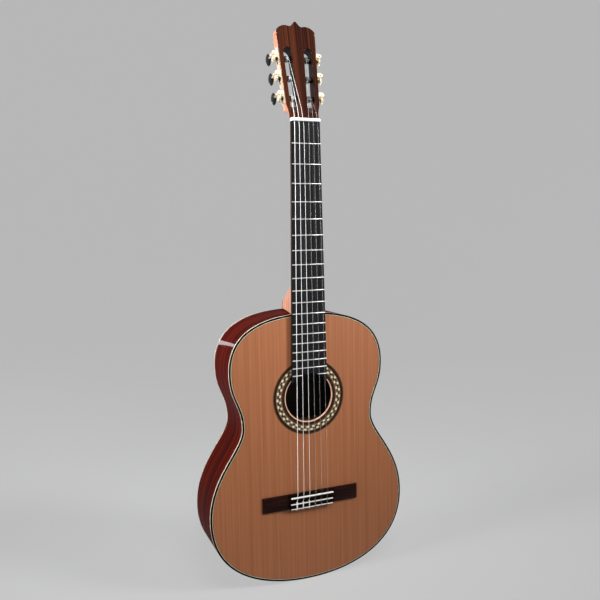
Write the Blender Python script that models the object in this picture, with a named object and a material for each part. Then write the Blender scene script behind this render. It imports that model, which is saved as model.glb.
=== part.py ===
"""A classical guitar, modelled piece by piece in metres.

The origin lies on the centre line, where the strings leave the front edge of the nut.
+Z runs up the neck, the soundboard faces -Y, and -X is the bass side. The neck's flat
top and the face of the soundboard both lie in the plane y = 0.
"""

import math

import bmesh
import bpy
from mathutils import Matrix, Vector

# Gap kept between two pieces that touch on the real instrument
CLEARANCE = 0.0003

# Fingerboard and frets
SCALE_LENGTH = 0.650
BODY_FRET = 12
FRET_COUNT = 19
NUT_WIDTH = 0.052
BODY_FRET_WIDTH = 0.062
BOARD_THICKNESS = 0.006
BOARD_PAST_LAST_FRET = 0.0115
BOARD_OVER_HOLE = 0.0009
FRET_WIDTH = 0.0018
FRET_CROWN = 0.0011
NUT_THICKNESS = 0.0055
NUT_HEIGHT = 0.0082
NUT_EASE = 0.0011

# Outline and depth of the sound box
BODY_LENGTH = 0.482
UPPER_BOUT_WIDTH = 0.289
UPPER_BOUT_DROP = 0.0955
WAIST_WIDTH = 0.246
WAIST_DROP = 0.192
LOWER_BOUT_WIDTH = 0.368
LOWER_BOUT_DROP = 0.347
DEPTH_AT_NECK = 0.092
DEPTH_AT_TAIL = 0.098

# Fullness of the outline's curves, as shares of the stretch each one spans
SHOULDER_FULLNESS = (0.65, 0.68)
UPPER_SIDE_FULLNESS = (0.49, 0.43)
LOWER_SIDE_FULLNESS = (0.24, 0.51)
TAIL_FULLNESS = (0.69, 0.55)

# Walls of the sound box
SOUNDBOARD_THICKNESS = 0.0025
BACK_THICKNESS = 0.0028
SIDE_THICKNESS = 0.0025
BINDING_WIDTH = 0.0025
BINDING_HEIGHT = 0.006
LINING_WIDTH = 0.006
LINING_HEIGHT = 0.014
TAIL_BLOCK_WIDTH = 0.070
TAIL_BLOCK_THICKNESS = 0.014

# Sound hole and rosette
SOUND_HOLE_DROP = 0.1484
SOUND_HOLE_RADIUS = 0.0439
ROSETTE_MARGIN = 0.0021
ROSETTE_WIDTH = 0.0214
ROSETTE_THICKNESS = 0.001

# Braces glued inside the soundboard and the back
FAN_COUNT = 7
FAN_WIDTH = 0.005
FAN_HEIGHT = 0.006
FAN_TOP_PITCH = 0.017
FAN_TAIL_PITCH = 0.034
FAN_BAR_GAP = 0.0008
FAN_TAIL_MARGIN = 0.034
PATCH_LENGTH = 0.190
PATCH_MARGIN = 0.004
PATCH_THICKNESS = 0.0012
FAN_LIFT = 0.0004
BAR_THICKNESS = 0.007
BAR_HEIGHT = 0.015
BAR_FROM_HOLE = 0.080
BACK_BRACE_DROPS = (0.075, 0.215, 0.355)
BRACE_END_GAP = 0.0008

# Bridge, saddle and the bone strips of the tie block
BRIDGE_LENGTH = 0.182
BRIDGE_FRONT = 0.0057
BRIDGE_FRONT_EASE = 0.0019
SADDLE_BLOCK_REAR = 0.0045
BRIDGE_BLOCK_LENGTH = 0.084
WING_HEIGHT = 0.0042
WING_TIP_HEIGHT = 0.0024
WING_TIP = 0.004
WING_EDGE_FALL = 0.25
WING_EDGE_POWER = 4
CHANNEL_HEIGHT = 0.0045
CHANNEL_WIDTH = 0.0062
SADDLE_BLOCK_HEIGHT = 0.0085
TIE_BLOCK_HEIGHT = 0.0090
TIE_BLOCK_WIDTH = 0.0104
BRIDGE_DRAFT = 0.0002
STRIP_WIDTH = 0.0016
STRIP_HEIGHT = 0.0016
BLOCK_END_MARGIN = 0.0017
SADDLE_THICKNESS = 0.0021
SADDLE_HEIGHT = 0.0114
SADDLE_SEAT = 0.0035

# Neck, heel and the block that carries the neck inside the box
NECK_DEPTH_AT_NUT = 0.0158
NECK_DEPTH_AT_HEEL = 0.0178
HEEL_LENGTH = 0.050
HEEL_COVE = 0.008
HEEL_CAP_LENGTH = 0.026
HEEL_CAP_WIDTH = 0.026
HEEL_CAP_THICKNESS = 0.0025
HEEL_WEB_WIDTH = 0.022
NECK_BLOCK_WIDTH = 0.060
NECK_BLOCK_LENGTH = 0.034
NECK_SWELL = 0.0014
NECK_SWELL_LENGTH = 0.0275

# Shape of the neck's section and of the heel, as shares of their depth and length
SECTION_SHARES = (0, 0.15, 0.3, 0.45, 0.6, 0.74, 0.86, 0.95, 0.985)
SECTION_POWER = 2.2
HEEL_WAIST_POWER = 1.2
HEEL_SHARES = (0, 0.08, 0.18, 0.3, 0.43, 0.57, 0.71, 0.85, 1)
CAP_SHARES = (0.17, 0.34, 0.5, 0.67, 0.84, 1)

# Head
HEAD_TILT = math.radians(12.5)
HEAD_RISE = 0.0016
HEAD_THICKNESS = 0.0195
HEADPLATE_THICKNESS = 0.0025
HEAD_FOOT_MARGIN = 0.0003
HEAD_FOOT_RISE = 0.020
HEAD_LOW_WIDTH = 0.0606
HEAD_TOP_WIDTH = 0.0700
HEAD_FLARE_START = 0.006
HEAD_FLARE_END = 0.0282
HEAD_STRAIGHT = 0.1198
NICK_DEPTH = 0.0012
NICK_HEIGHT = 0.0034
EAR_HEIGHT = 0.0038
CREST_SHOULDER_WIDTH = 0.036
CREST_SHOULDER_RISE = 0.0085
CREST_DIP_WIDTH = 0.022
CREST_DIP_RISE = 0.0074
CREST_PEAK_RISE = 0.0165

# Where the head's curves bend, as shares of the stretch each one spans
FLARE_BEND = (0.4, 0.35)
FOOT_SHARES = (0, 0.25, 0.5, 0.75, 1)
FOOT_POWER = 1.5
SHOULDER_BEND = (0.25, 0.6, 0.4)
DIP_BEND = 0.4
PEAK_BEND = (0.6, 0.35)

# Slots of the head, which run beside its straight sides
SLOT_WIDTH = 0.0155
SLOT_WALL = 0.0071
SLOT_BELOW = 0.0188
SLOT_PAST_ROLLER = 0.0170
RAMP_LENGTH = 0.014
RAMP_DEPTH = 0.0105

# Tuning machines
ROLLER_FIRST = 0.0090
ROLLER_PITCH = 0.035
ROLLER_RADIUS = 0.005
ROLLER_DEPTH = 0.0105
ROLLER_SEAT = 0.005
SPINDLE_RADIUS = 0.0028
PLATE_THICKNESS = 0.0012
PLATE_END_MARGIN = 0.0110
PLATE_EDGE_MARGIN = 0.0005
PLATE_CORNER = 0.003
PLATE_WAIST = 0.0025
GEAR_TEETH = 14
GEAR_RADIUS = 0.0056
GEAR_ADDENDUM = 0.0007
GEAR_DEDENDUM = 0.0010
GEAR_WIDTH = 0.0032
GEAR_LIFT = 0.003
TOOTH_TIP_WIDTH = 0.0006
TOOTH_ROOT_WIDTH = 0.0015
WORM_RADIUS = 0.0026
WORM_ADDENDUM = 0.0006
WORM_DEDENDUM = 0.0010
WORM_TURNS = 3
THREAD_CREST_WIDTH = 0.0005
THREAD_ROOT_WIDTH = 0.0014
LUG_THICKNESS = 0.0015
LUG_WIDTH = 0.0068
LUG_GAP = 0.001
SHAFT_STUB = 0.0015
KNOB_BEHIND_HEAD = 0.007
KNOB_LENGTH = 0.0135
KNOB_WIDTH = 0.0230
KNOB_THICKNESS = 0.0085
KNOB_BORE = 0.008
KNOB_PROFILE = ((0, 0.42), (0.1, 0.62), (0.3, 0.92), (0.55, 1.0), (0.8, 0.86), (0.94, 0.6), (1, 0.36))
KNOB_CORE = 0.4

# Strings, first to sixth
STRING_DIAMETERS = (0.00071, 0.00082, 0.00102, 0.00074, 0.00088, 0.00109)
STRING_EDGE_AT_NUT = 0.00475
STRING_SPREAD_AT_SADDLE = 0.058
WINDING_TURNS = 3
WINDING_GAP = 0.0005
TIE_BEND = 0.001

# Facets
CURVE_STEPS = 7
HEAD_STEPS = 5
HALF_TURN_STEPS = 6
STRING_HOLE_STEPS = 6
HOLE_STEPS = 48
ROUND_STEPS = 12
WORM_STEPS = 8
PLATE_STEPS = 8
TURN_POINTS = 24

# Counts and places that follow from the sizes above
STRING_COUNT = len(STRING_DIAMETERS)
SIDE_COUNT = STRING_COUNT // 2
BODY_TOP = -SCALE_LENGTH * (1 - 2 ** (-BODY_FRET / 12))
INNER_WALL = max(SIDE_THICKNESS, BINDING_WIDTH) + CLEARANCE
HOLE_CENTRE_Z = BODY_TOP - SOUND_HOLE_DROP
ROSETTE_INNER_RADIUS = SOUND_HOLE_RADIUS + ROSETTE_MARGIN
ROSETTE_OUTER_RADIUS = ROSETTE_INNER_RADIUS + ROSETTE_WIDTH
BOARD_TOP = CLEARANCE + BOARD_THICKNESS
BRIDGE_FRONT_Z = -SCALE_LENGTH + BRIDGE_FRONT
TIE_FRONT_Z = -SCALE_LENGTH - SADDLE_BLOCK_REAR - CHANNEL_WIDTH
BRIDGE_REAR_Z = TIE_FRONT_Z - TIE_BLOCK_WIDTH
BRIDGE_WIDTH = BRIDGE_FRONT_Z - BRIDGE_REAR_Z
STRIP_SEAT_HEIGHT = TIE_BLOCK_HEIGHT - STRIP_HEIGHT - CLEARANCE
TIE_HOLE_HEIGHT = (CHANNEL_HEIGHT + STRIP_SEAT_HEIGHT) / 2
SADDLE_LENGTH = BRIDGE_BLOCK_LENGTH - 2 * BLOCK_END_MARGIN
HEEL_DEPTH = DEPTH_AT_NECK - HEEL_CAP_THICKNESS - CLEARANCE
HEAD_ORIGIN = Vector((0, -HEAD_RISE, NUT_THICKNESS + 2 * CLEARANCE))
HEAD_UP = Vector((0, math.sin(HEAD_TILT), math.cos(HEAD_TILT)))
HEAD_BACK = Vector((0, math.cos(HEAD_TILT), -math.sin(HEAD_TILT)))
HEAD_TAPER = math.atan2((HEAD_TOP_WIDTH - HEAD_LOW_WIDTH) / 2, HEAD_STRAIGHT)
SLOT_ABOVE = ROLLER_FIRST + (SIDE_COUNT - 1) * ROLLER_PITCH + SLOT_PAST_ROLLER
PLATE_TOP = CLEARANCE + PLATE_THICKNESS
WORM_OUTER = WORM_RADIUS + WORM_ADDENDUM
WORM_CORE = WORM_RADIUS - WORM_DEDENDUM
GEAR_MIDDLE = PLATE_TOP + GEAR_LIFT + 2 * CLEARANCE + WORM_OUTER
GEAR_LEAD = 2 * math.pi * GEAR_RADIUS / GEAR_TEETH
AXIS_DISTANCE = GEAR_RADIUS + WORM_RADIUS
LUG_INNER = (WORM_TURNS * GEAR_LEAD + THREAD_ROOT_WIDTH) / 2 + LUG_GAP
LUG_OUTER = LUG_INNER + LUG_THICKNESS
PLATE_WIDTH = 2 * (LUG_OUTER + PLATE_EDGE_MARGIN)
SHAFT_FRONT = LUG_OUTER + SHAFT_STUB
KNOB_FRONT = HEAD_THICKNESS - ROLLER_DEPTH + KNOB_BEHIND_HEAD
STRING_PITCH_AT_NUT = (NUT_WIDTH - 2 * STRING_EDGE_AT_NUT) / (STRING_COUNT - 1)
STRING_PITCH_AT_SADDLE = STRING_SPREAD_AT_SADDLE / (STRING_COUNT - 1)


def finish(name, colour, roughness, metallic=0.0):
    """A plain finish of one colour."""
    made = bpy.data.materials.new(name)
    made.use_nodes = True
    shader = made.node_tree.nodes["Principled BSDF"]
    shader.inputs["Base Color"].default_value = (*colour, 1.0)
    shader.inputs["Roughness"].default_value = roughness
    shader.inputs["Metallic"].default_value = metallic
    return made


def piece(name, material, bm):
    """A named object from a closed mesh, with its faces pointing out."""
    bmesh.ops.recalc_face_normals(bm, faces=bm.faces)
    mesh = bpy.data.meshes.new(name)
    bm.to_mesh(mesh)
    bm.free()
    mesh.shade_smooth()
    mesh.set_sharp_from_angle(angle=math.radians(35))
    made = bpy.data.objects.new(name, mesh)
    bpy.context.scene.collection.objects.link(made)
    if material:
        mesh.materials.append(material)
    return made


def loft(bm, rings, closed=False):
    """Adds a skin through rings of equal length, with flat ends unless it closes on itself."""
    loops = [[bm.verts.new(point) for point in ring] for ring in rings]
    pairs = list(zip(loops, loops[1:]))
    if closed:
        pairs.append((loops[-1], loops[0]))
    else:
        bm.faces.new(loops[0])
        bm.faces.new(loops[-1])
    count = len(loops[0])
    for near, far in pairs:
        for i in range(count):
            j = (i + 1) % count
            bm.faces.new((near[i], near[j], far[j], far[i]))


def lofted(name, material, rings, closed=False):
    """A piece made of one skin through rings."""
    bm = bmesh.new()
    loft(bm, rings, closed)
    return piece(name, material, bm)


def tool(name, solids, closed=False):
    """A hidden helper that a Boolean cuts with or adds."""
    bm = bmesh.new()
    for rings in solids:
        loft(bm, rings, closed)
    made = piece(name, None, bm)
    made.hide_render = True
    made.display_type = "WIRE"
    return made


def combine(target, helper, operation="DIFFERENCE"):
    """Cuts a helper out of a piece, or adds it."""
    step = target.modifiers.new(helper.name, "BOOLEAN")
    step.operation = operation
    step.object = helper
    step.solver = "EXACT"


def plate(name, material, loops, front, back):
    """A plate with holes. front and back turn a flat point into a place on each face."""
    bm = bmesh.new()
    faces_edges = ([], [])
    for loop in loops:
        near = [bm.verts.new(front(*point)) for point in loop]
        far = [bm.verts.new(back(*point)) for point in loop]
        for i in range(len(loop)):
            j = (i + 1) % len(loop)
            bm.faces.new((near[i], near[j], far[j], far[i]))
            faces_edges[0].append(bm.edges.get((near[i], near[j])))
            faces_edges[1].append(bm.edges.get((far[i], far[j])))
    for edges in faces_edges:
        bmesh.ops.triangle_fill(bm, edges=edges, use_beauty=True)
    return piece(name, material, bm)


def circle(radius, steps):
    """Points round a circle."""
    angles = [2 * math.pi * i / steps for i in range(steps)]
    return [(radius * math.cos(angle), radius * math.sin(angle)) for angle in angles]


def bore(radius, steps):
    """A polygon whose flats keep the clearance from a shaft of this radius."""
    return circle((radius + CLEARANCE) / math.cos(math.pi / steps), steps)


def half_circle(radius):
    """Points round half a circle, from one end of its diameter to the other."""
    angles = [math.pi * i / HALF_TURN_STEPS for i in range(HALF_TURN_STEPS + 1)]
    return [(radius * math.cos(angle), radius * math.sin(angle)) for angle in angles]


def bezier(start, start_handle, end_handle, end, steps):
    """Points along a cubic curve, without its last one."""
    points = []
    for i in range(steps):
        t = i / steps
        weights = ((1 - t) ** 3, 3 * (1 - t) ** 2 * t, 3 * (1 - t) * t ** 2, t ** 3)
        corners = (start, start_handle, end_handle, end)
        points.append(tuple(sum(w * c[axis] for w, c in zip(weights, corners)) for axis in (0, 1)))
    return points


def mirrored(points):
    """The same points on the other side of the centre line."""
    return [(-x, z) for x, z in points]


def whole(half):
    """A closed outline from a half that starts and ends on the centre line."""
    return half + mirrored(half[1:-1])[::-1]


# Outline of the sound box


def half_outline():
    """The treble half of the body's outline in x and z, from the neck to the tail."""
    upper = (UPPER_BOUT_WIDTH / 2, BODY_TOP - UPPER_BOUT_DROP)
    waist = (WAIST_WIDTH / 2, BODY_TOP - WAIST_DROP)
    lower = (LOWER_BOUT_WIDTH / 2, BODY_TOP - LOWER_BOUT_DROP)
    tail_z = BODY_TOP - BODY_LENGTH
    points = bezier(
        (0, BODY_TOP),
        (SHOULDER_FULLNESS[0] * upper[0], BODY_TOP),
        (upper[0], upper[1] + SHOULDER_FULLNESS[1] * UPPER_BOUT_DROP),
        upper,
        CURVE_STEPS + 1,
    )
    for start, end, fullness in ((upper, waist, UPPER_SIDE_FULLNESS), (waist, lower, LOWER_SIDE_FULLNESS)):
        drop = start[1] - end[1]
        start_handle = (start[0], start[1] - fullness[0] * drop)
        end_handle = (end[0], end[1] + fullness[1] * drop)
        points += bezier(start, start_handle, end_handle, end, CURVE_STEPS)
    points += bezier(
        lower,
        (lower[0], lower[1] - TAIL_FULLNESS[0] * (lower[1] - tail_z)),
        (TAIL_FULLNESS[1] * lower[0], tail_z),
        (0, tail_z),
        CURVE_STEPS + 3,
    )
    return points + [(0, tail_z)]


def begin_at(points, x):
    """The outline from the place where it first reaches x."""
    for i, (near, far) in enumerate(zip(points, points[1:])):
        if far[0] > x:
            share = (x - near[0]) / (far[0] - near[0])
            return [(x, near[1] + share * (far[1] - near[1]))] + points[i + 1:]


def trimmed(points, neck_x, tail_x):
    """The half outline cut short beside the neck and beside the tail."""
    return begin_at(begin_at(points, neck_x)[::-1], tail_x)[::-1]


def inset(points, distance):
    """The half outline moved inward. Its two ends keep their x."""
    moved = []
    last = len(points) - 1
    for i, (x, z) in enumerate(points):
        before = Vector(points[max(i - 1, 0)])
        after = Vector(points[min(i + 1, last)])
        along = (after - before).normalized()
        inward_x = 0 if i in (0, last) else along.y
        moved.append((x + inward_x * distance, z - along.x * distance))
    return moved


def half_width(points, z):
    """How far the half outline stands from the centre line at one height."""
    for near, far in zip(points, points[1:]):
        if near[1] >= z >= far[1]:
            share = (near[1] - z) / (near[1] - far[1])
            return near[0] + share * (far[0] - near[0])


def back_y(z):
    """The outer face of the back, which slopes because the box is deeper at the tail."""
    return DEPTH_AT_NECK + (BODY_TOP - z) / BODY_LENGTH * (DEPTH_AT_TAIL - DEPTH_AT_NECK)


def level(y):
    """A wall's edge at one distance from the soundboard's face."""
    return lambda z: y


def before_back(distance):
    """A wall's edge at one distance in front of the back's outer face."""
    return lambda z: back_y(z) - distance


def band_rings(outer, inner, front, back):
    """Sections of a wall between two outlines, from one edge to the other."""
    rings = []
    for (outer_x, outer_z), (inner_x, inner_z) in zip(outer, inner):
        rings.append([
            (outer_x, front(outer_z), outer_z),
            (inner_x, front(inner_z), inner_z),
            (inner_x, back(inner_z), inner_z),
            (outer_x, back(outer_z), outer_z),
        ])
    return rings


def band(name, material, outer, inner, front, back, closed=False):
    """A wall between two outlines."""
    return lofted(name, material, band_rings(outer, inner, front, back), closed)


# Sound box


def add_bindings(outline, material):
    """The dark edge strips round the soundboard and the back."""
    outer = whole(outline)
    inner = whole(inset(outline, BINDING_WIDTH))
    band("top_binding", material, outer, inner, level(0), level(BINDING_HEIGHT), closed=True)
    band("back_binding", material, outer, inner, before_back(BINDING_HEIGHT), before_back(0), closed=True)


def add_sides(outline, material):
    """The two bent sides. Their upper ends stand in slots beside the heel's web."""
    treble = trimmed(outline, HEEL_WEB_WIDTH / 2 + CLEARANCE, CLEARANCE / 2)
    inner = inset(treble, SIDE_THICKNESS)
    front = level(BINDING_HEIGHT + CLEARANCE)
    back = before_back(BINDING_HEIGHT + CLEARANCE)
    band("treble_side", material, treble, inner, front, back)
    band("bass_side", material, mirrored(treble), mirrored(inner), front, back)


def add_linings(outline, material):
    """Glue strips between the sides and the plates, from the neck block to the tail block."""
    course = trimmed(outline, NECK_BLOCK_WIDTH / 2 + CLEARANCE, TAIL_BLOCK_WIDTH / 2 + CLEARANCE)
    outer = inset(course, INNER_WALL)
    inner = inset(course, INNER_WALL + LINING_WIDTH)
    top = SOUNDBOARD_THICKNESS + CLEARANCE
    bottom = BACK_THICKNESS + CLEARANCE
    edges = {
        "top": (level(top), level(top + LINING_HEIGHT)),
        "back": (before_back(bottom + LINING_HEIGHT), before_back(bottom)),
    }
    for place, (front, back) in edges.items():
        band("treble_" + place + "_lining", material, outer, inner, front, back)
        band("bass_" + place + "_lining", material, mirrored(outer), mirrored(inner), front, back)


def add_tail_block(outline, material):
    """The block that joins the two sides at the tail."""
    reach = TAIL_BLOCK_WIDTH / 2
    low = BODY_TOP - LOWER_BOUT_DROP
    half = [(x, z) for x, z in outline[::-1] if x < reach and z < low]
    half.append(begin_at(outline[::-1], reach)[0])
    outer = [(x, z + INNER_WALL) for x, z in half]
    inner_z = half[-1][1] + INNER_WALL + TAIL_BLOCK_THICKNESS
    inner = [(x, inner_z) for x, z in half]
    front = level(SOUNDBOARD_THICKNESS + CLEARANCE)
    back = before_back(BACK_THICKNESS + CLEARANCE)
    outer_all = mirrored(outer[1:])[::-1] + outer
    inner_all = mirrored(inner[1:])[::-1] + inner
    band("tail_block", material, outer_all, inner_all, front, back)


def round_hole(radius):
    """A circle round the sound hole's centre."""
    return [(x, HOLE_CENTRE_Z + z) for x, z in circle(radius, HOLE_STEPS)]


def add_soundboard(outline, material):
    """The top plate, with its sound hole and the groove for the rosette."""
    edge = whole(inset(outline, BINDING_WIDTH + CLEARANCE))
    board = plate(
        "soundboard",
        material,
        [edge, round_hole(SOUND_HOLE_RADIUS)],
        lambda x, z: (x, 0, z),
        lambda x, z: (x, SOUNDBOARD_THICKNESS, z),
    )
    floor = ROSETTE_THICKNESS + CLEARANCE
    outer = round_hole(ROSETTE_OUTER_RADIUS + CLEARANCE)
    inner = round_hole(ROSETTE_INNER_RADIUS - CLEARANCE)
    rings = band_rings(outer, inner, level(-floor), level(floor))
    combine(board, tool("rosette_groove", [rings], closed=True))


def add_rosette(material):
    """The inlaid ring round the sound hole."""
    outer = round_hole(ROSETTE_OUTER_RADIUS)
    inner = round_hole(ROSETTE_INNER_RADIUS)
    band("rosette", material, outer, inner, level(0), level(ROSETTE_THICKNESS), closed=True)


def add_back(outline, material):
    """The back plate."""
    edge = whole(inset(outline, BINDING_WIDTH + CLEARANCE))
    plate(
        "back_plate",
        material,
        [edge],
        lambda x, z: (x, back_y(z) - BACK_THICKNESS, z),
        lambda x, z: (x, back_y(z), z),
    )


# Braces


def bar(name, material, outline, z, front, back):
    """A straight brace across the box, as long as fits between the linings."""
    room = inset(outline, INNER_WALL + LINING_WIDTH + BRACE_END_GAP)
    edges = (z + BAR_THICKNESS / 2, z - BAR_THICKNESS / 2)
    reach = min(half_width(room, edge) for edge in edges)
    outer = [(-reach, edges[0]), (reach, edges[0])]
    inner = [(-reach, edges[1]), (reach, edges[1])]
    band(name, material, outer, inner, front, back)


def add_cross_bars(outline, material):
    """The bars above and below the sound hole, and the braces of the back."""
    top = SOUNDBOARD_THICKNESS + CLEARANCE
    for name, z in (("upper", HOLE_CENTRE_Z + BAR_FROM_HOLE), ("lower", HOLE_CENTRE_Z - BAR_FROM_HOLE)):
        bar(name + "_harmonic_bar", material, outline, z, level(top), level(top + BAR_HEIGHT))
    bottom = BACK_THICKNESS + CLEARANCE
    for name, drop in zip(("upper", "middle", "lower"), BACK_BRACE_DROPS):
        z = BODY_TOP - drop
        bar(name + "_back_brace", material, outline, z, before_back(bottom + BAR_HEIGHT), before_back(bottom))


def add_fan_bracing(material):
    """Thin struts that spread under the lower bout, tied together by the patch under the bridge."""
    top = SOUNDBOARD_THICKNESS + CLEARANCE
    patch_z = (BRIDGE_FRONT_Z + PATCH_MARGIN, BRIDGE_REAR_Z - PATCH_MARGIN)
    patch_outer = [(-PATCH_LENGTH / 2, patch_z[0]), (PATCH_LENGTH / 2, patch_z[0])]
    patch_inner = [(-PATCH_LENGTH / 2, patch_z[1]), (PATCH_LENGTH / 2, patch_z[1])]
    patch = band("fan_bracing", material, patch_outer, patch_inner, level(top), level(top + PATCH_THICKNESS))
    struts = []
    middle = (FAN_COUNT - 1) / 2
    fan_top = HOLE_CENTRE_Z - BAR_FROM_HOLE - BAR_THICKNESS / 2 - FAN_BAR_GAP
    fan_tail = BODY_TOP - BODY_LENGTH + FAN_TAIL_MARGIN
    for i in range(FAN_COUNT):
        rings = []
        for z, pitch in ((fan_top, FAN_TOP_PITCH), (fan_tail, FAN_TAIL_PITCH)):
            x = (i - middle) * pitch
            near = top + FAN_LIFT
            rings.append([
                (x - FAN_WIDTH / 2, near, z),
                (x + FAN_WIDTH / 2, near, z),
                (x + FAN_WIDTH / 2, near + FAN_HEIGHT, z),
                (x - FAN_WIDTH / 2, near + FAN_HEIGHT, z),
            ])
        struts.append(rings)
    combine(patch, tool("fan_struts", struts), "UNION")


# Neck, fingerboard and nut


def board_half_width(z):
    """Half the fingerboard's width at one height. It widens steadily from the nut."""
    return (NUT_WIDTH + (BODY_FRET_WIDTH - NUT_WIDTH) * z / BODY_TOP) / 2


def fret_z(number):
    """Where a fret stands, by equal temperament."""
    return -SCALE_LENGTH * (1 - 2 ** (-number / 12))


def add_fingerboard(material, fret_material):
    """The fingerboard with its frets. Its lower end follows the sound hole."""
    stations = [(-CLEARANCE, BOARD_TOP)]
    for number in range(1, FRET_COUNT + 1):
        z = fret_z(number)
        stations.append((z + FRET_WIDTH / 2, BOARD_TOP))
        stations.append((z + FRET_WIDTH / 4, BOARD_TOP + FRET_CROWN))
        stations.append((z - FRET_WIDTH / 4, BOARD_TOP + FRET_CROWN))
        stations.append((z - FRET_WIDTH / 2, BOARD_TOP))
    stations.append((fret_z(FRET_COUNT) - BOARD_PAST_LAST_FRET, BOARD_TOP))
    rings = []
    for z, height in stations:
        reach = board_half_width(z)
        corners = ((-reach, CLEARANCE), (reach, CLEARANCE), (reach, height), (-reach, height))
        rings.append([(x, -up, z) for x, up in corners])
    board = lofted("fingerboard", material, rings)
    board.data.materials.append(fret_material)
    for face in board.data.polygons:
        heights = [-board.data.vertices[i].co.y for i in face.vertices]
        if max(heights) > BOARD_TOP + FRET_CROWN / 2 and min(heights) > CLEARANCE * 2:
            face.material_index = 1
    hollow = round_hole(SOUND_HOLE_RADIUS - BOARD_OVER_HOLE)
    reach = BOARD_TOP + FRET_CROWN + BOARD_THICKNESS
    cutter = tool("fingerboard_end", [[[(x, y, z) for x, z in hollow] for y in (-reach, BOARD_THICKNESS)]])
    combine(board, cutter)


def add_nut(material):
    """The bone nut, with its top edges eased."""
    ease = NUT_EASE
    profile = (
        (-CLEARANCE, 0),
        (-NUT_HEIGHT + ease, 0),
        (-NUT_HEIGHT, ease),
        (-NUT_HEIGHT, NUT_THICKNESS - ease),
        (-NUT_HEIGHT + ease, NUT_THICKNESS),
        (-CLEARANCE, NUT_THICKNESS),
    )
    ends = (-NUT_WIDTH / 2, NUT_WIDTH / 2)
    lofted("nut", material, [[(x, y, z) for y, z in profile] for x in ends])


def neck_section(reach, depth, flat=0.0):
    """Points of the neck's section in x and y. flat turns its round back into the heel's flat end."""
    edge = SECTION_SHARES[-1]
    half = []
    for share in SECTION_SHARES[:-1] + (edge + (1 - edge) * flat,):
        y = depth * share
        narrowing = (1 - y / HEEL_DEPTH) ** HEEL_WAIST_POWER if y < HEEL_DEPTH else 0
        envelope = HEEL_CAP_WIDTH / 2 + (reach - HEEL_CAP_WIDTH / 2) * narrowing
        rounding = (1 - min(share, edge) ** SECTION_POWER) ** (1 / SECTION_POWER)
        half.append((envelope * (rounding + (1 - rounding) * flat), y))
    return half + [(0, depth)] + mirrored(half)[::-1]


def block_section(reach, front, back):
    """A rectangle with as many points as a section of the neck."""
    half = [(reach, front + (back - front) * share) for share in SECTION_SHARES[:-1] + (1,)]
    return half + [(0, back)] + mirrored(half)[::-1]


def neck_depth(z):
    """How far the neck's back lies behind its flat top."""
    return NECK_DEPTH_AT_NUT + (NECK_DEPTH_AT_HEEL - NECK_DEPTH_AT_NUT) * z / (BODY_TOP + HEEL_LENGTH)


def add_neck(outline, material):
    """The neck, its heel, and the block inside the box, with slots for the ends of the sides."""
    face = HEAD_RISE / math.cos(HEAD_TILT)
    section = neck_section(NUT_WIDTH / 2, HEAD_THICKNESS - face)
    rings = [[head_point(x, -CLEARANCE, face + y) for x, y in section]]
    heel_start = BODY_TOP + HEEL_LENGTH
    stations = (
        (-NUT_THICKNESS, NECK_SWELL),
        (-NECK_SWELL_LENGTH, 0),
        (heel_start / 2, 0),
        (heel_start + HEEL_COVE, 0),
    )
    for z, swell in stations:
        section = neck_section(board_half_width(z), neck_depth(z) + swell)
        rings.append([(x, y, z) for x, y in section])
    heel_flat = BODY_TOP + HEEL_CAP_LENGTH
    for share in HEEL_SHARES:
        z = heel_start + (heel_flat - heel_start) * share
        depth = neck_depth(heel_start)
        depth += (HEEL_DEPTH - depth) * math.sin(share * math.pi / 2)
        rings.append([(x, y, z) for x, y in neck_section(board_half_width(z), depth)])
    for share in CAP_SHARES:
        turn = share * math.pi / 2
        z = BODY_TOP + CLEARANCE + (HEEL_CAP_LENGTH - CLEARANCE) * math.cos(turn)
        section = neck_section(board_half_width(z), HEEL_DEPTH, math.sin(turn))
        rings.append([(x, y, z) for x, y in section])
    inner = inset(outline, INNER_WALL)
    block_top = begin_at(inner, NECK_BLOCK_WIDTH / 2)[0][1] - CLEARANCE
    edge = BINDING_HEIGHT + 2 * CLEARANCE
    web = block_section(HEEL_WEB_WIDTH / 2, edge, DEPTH_AT_NECK - edge)
    block_back = DEPTH_AT_NECK - BACK_THICKNESS - CLEARANCE
    block = block_section(NECK_BLOCK_WIDTH / 2, SOUNDBOARD_THICKNESS + CLEARANCE, block_back)
    block_low = block_top - NECK_BLOCK_LENGTH
    for section, height in ((web, z), (web, block_top), (block, block_top), (block, block_low)):
        rings.append([(x, y, height) for x, y in section])
    lofted("neck", material, rings)


def add_heel_cap(material):
    """The cap that closes the heel, level with the back."""
    low = BODY_TOP + CLEARANCE
    reach = HEEL_CAP_WIDTH / 2
    rise = HEEL_CAP_LENGTH - CLEARANCE
    outline = [(reach * x, low + rise * up) for x, up in half_circle(1)]
    ends = (HEEL_DEPTH + CLEARANCE, DEPTH_AT_NECK)
    lofted("heel_cap", material, [[(x, y, z) for x, z in outline] for y in ends])


# Head


def head_point(x, up, deep):
    """A place by its distance across the head, up its face and behind its face."""
    return HEAD_ORIGIN + Vector((x, 0, 0)) + HEAD_UP * up + HEAD_BACK * deep


def side_flat(along, out):
    """A place beside the treble side of the head, as a distance across and up its face."""
    across = HEAD_LOW_WIDTH / 2 + along * math.sin(HEAD_TAPER) + out * math.cos(HEAD_TAPER)
    up = HEAD_FLARE_END + along * math.cos(HEAD_TAPER) - out * math.sin(HEAD_TAPER)
    return across, up


def side_point(side, along, out, deep):
    """A place by its distance along one side of the head, out from it and behind the face."""
    across, up = side_flat(along, out)
    return head_point(side * across, up, deep)


def side_axes(side):
    """The directions along one side of the head and out from it."""
    origin = side_point(side, 0, 0, 0)
    return side_point(side, 1, 0, 0) - origin, side_point(side, 0, 1, 0) - origin


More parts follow.
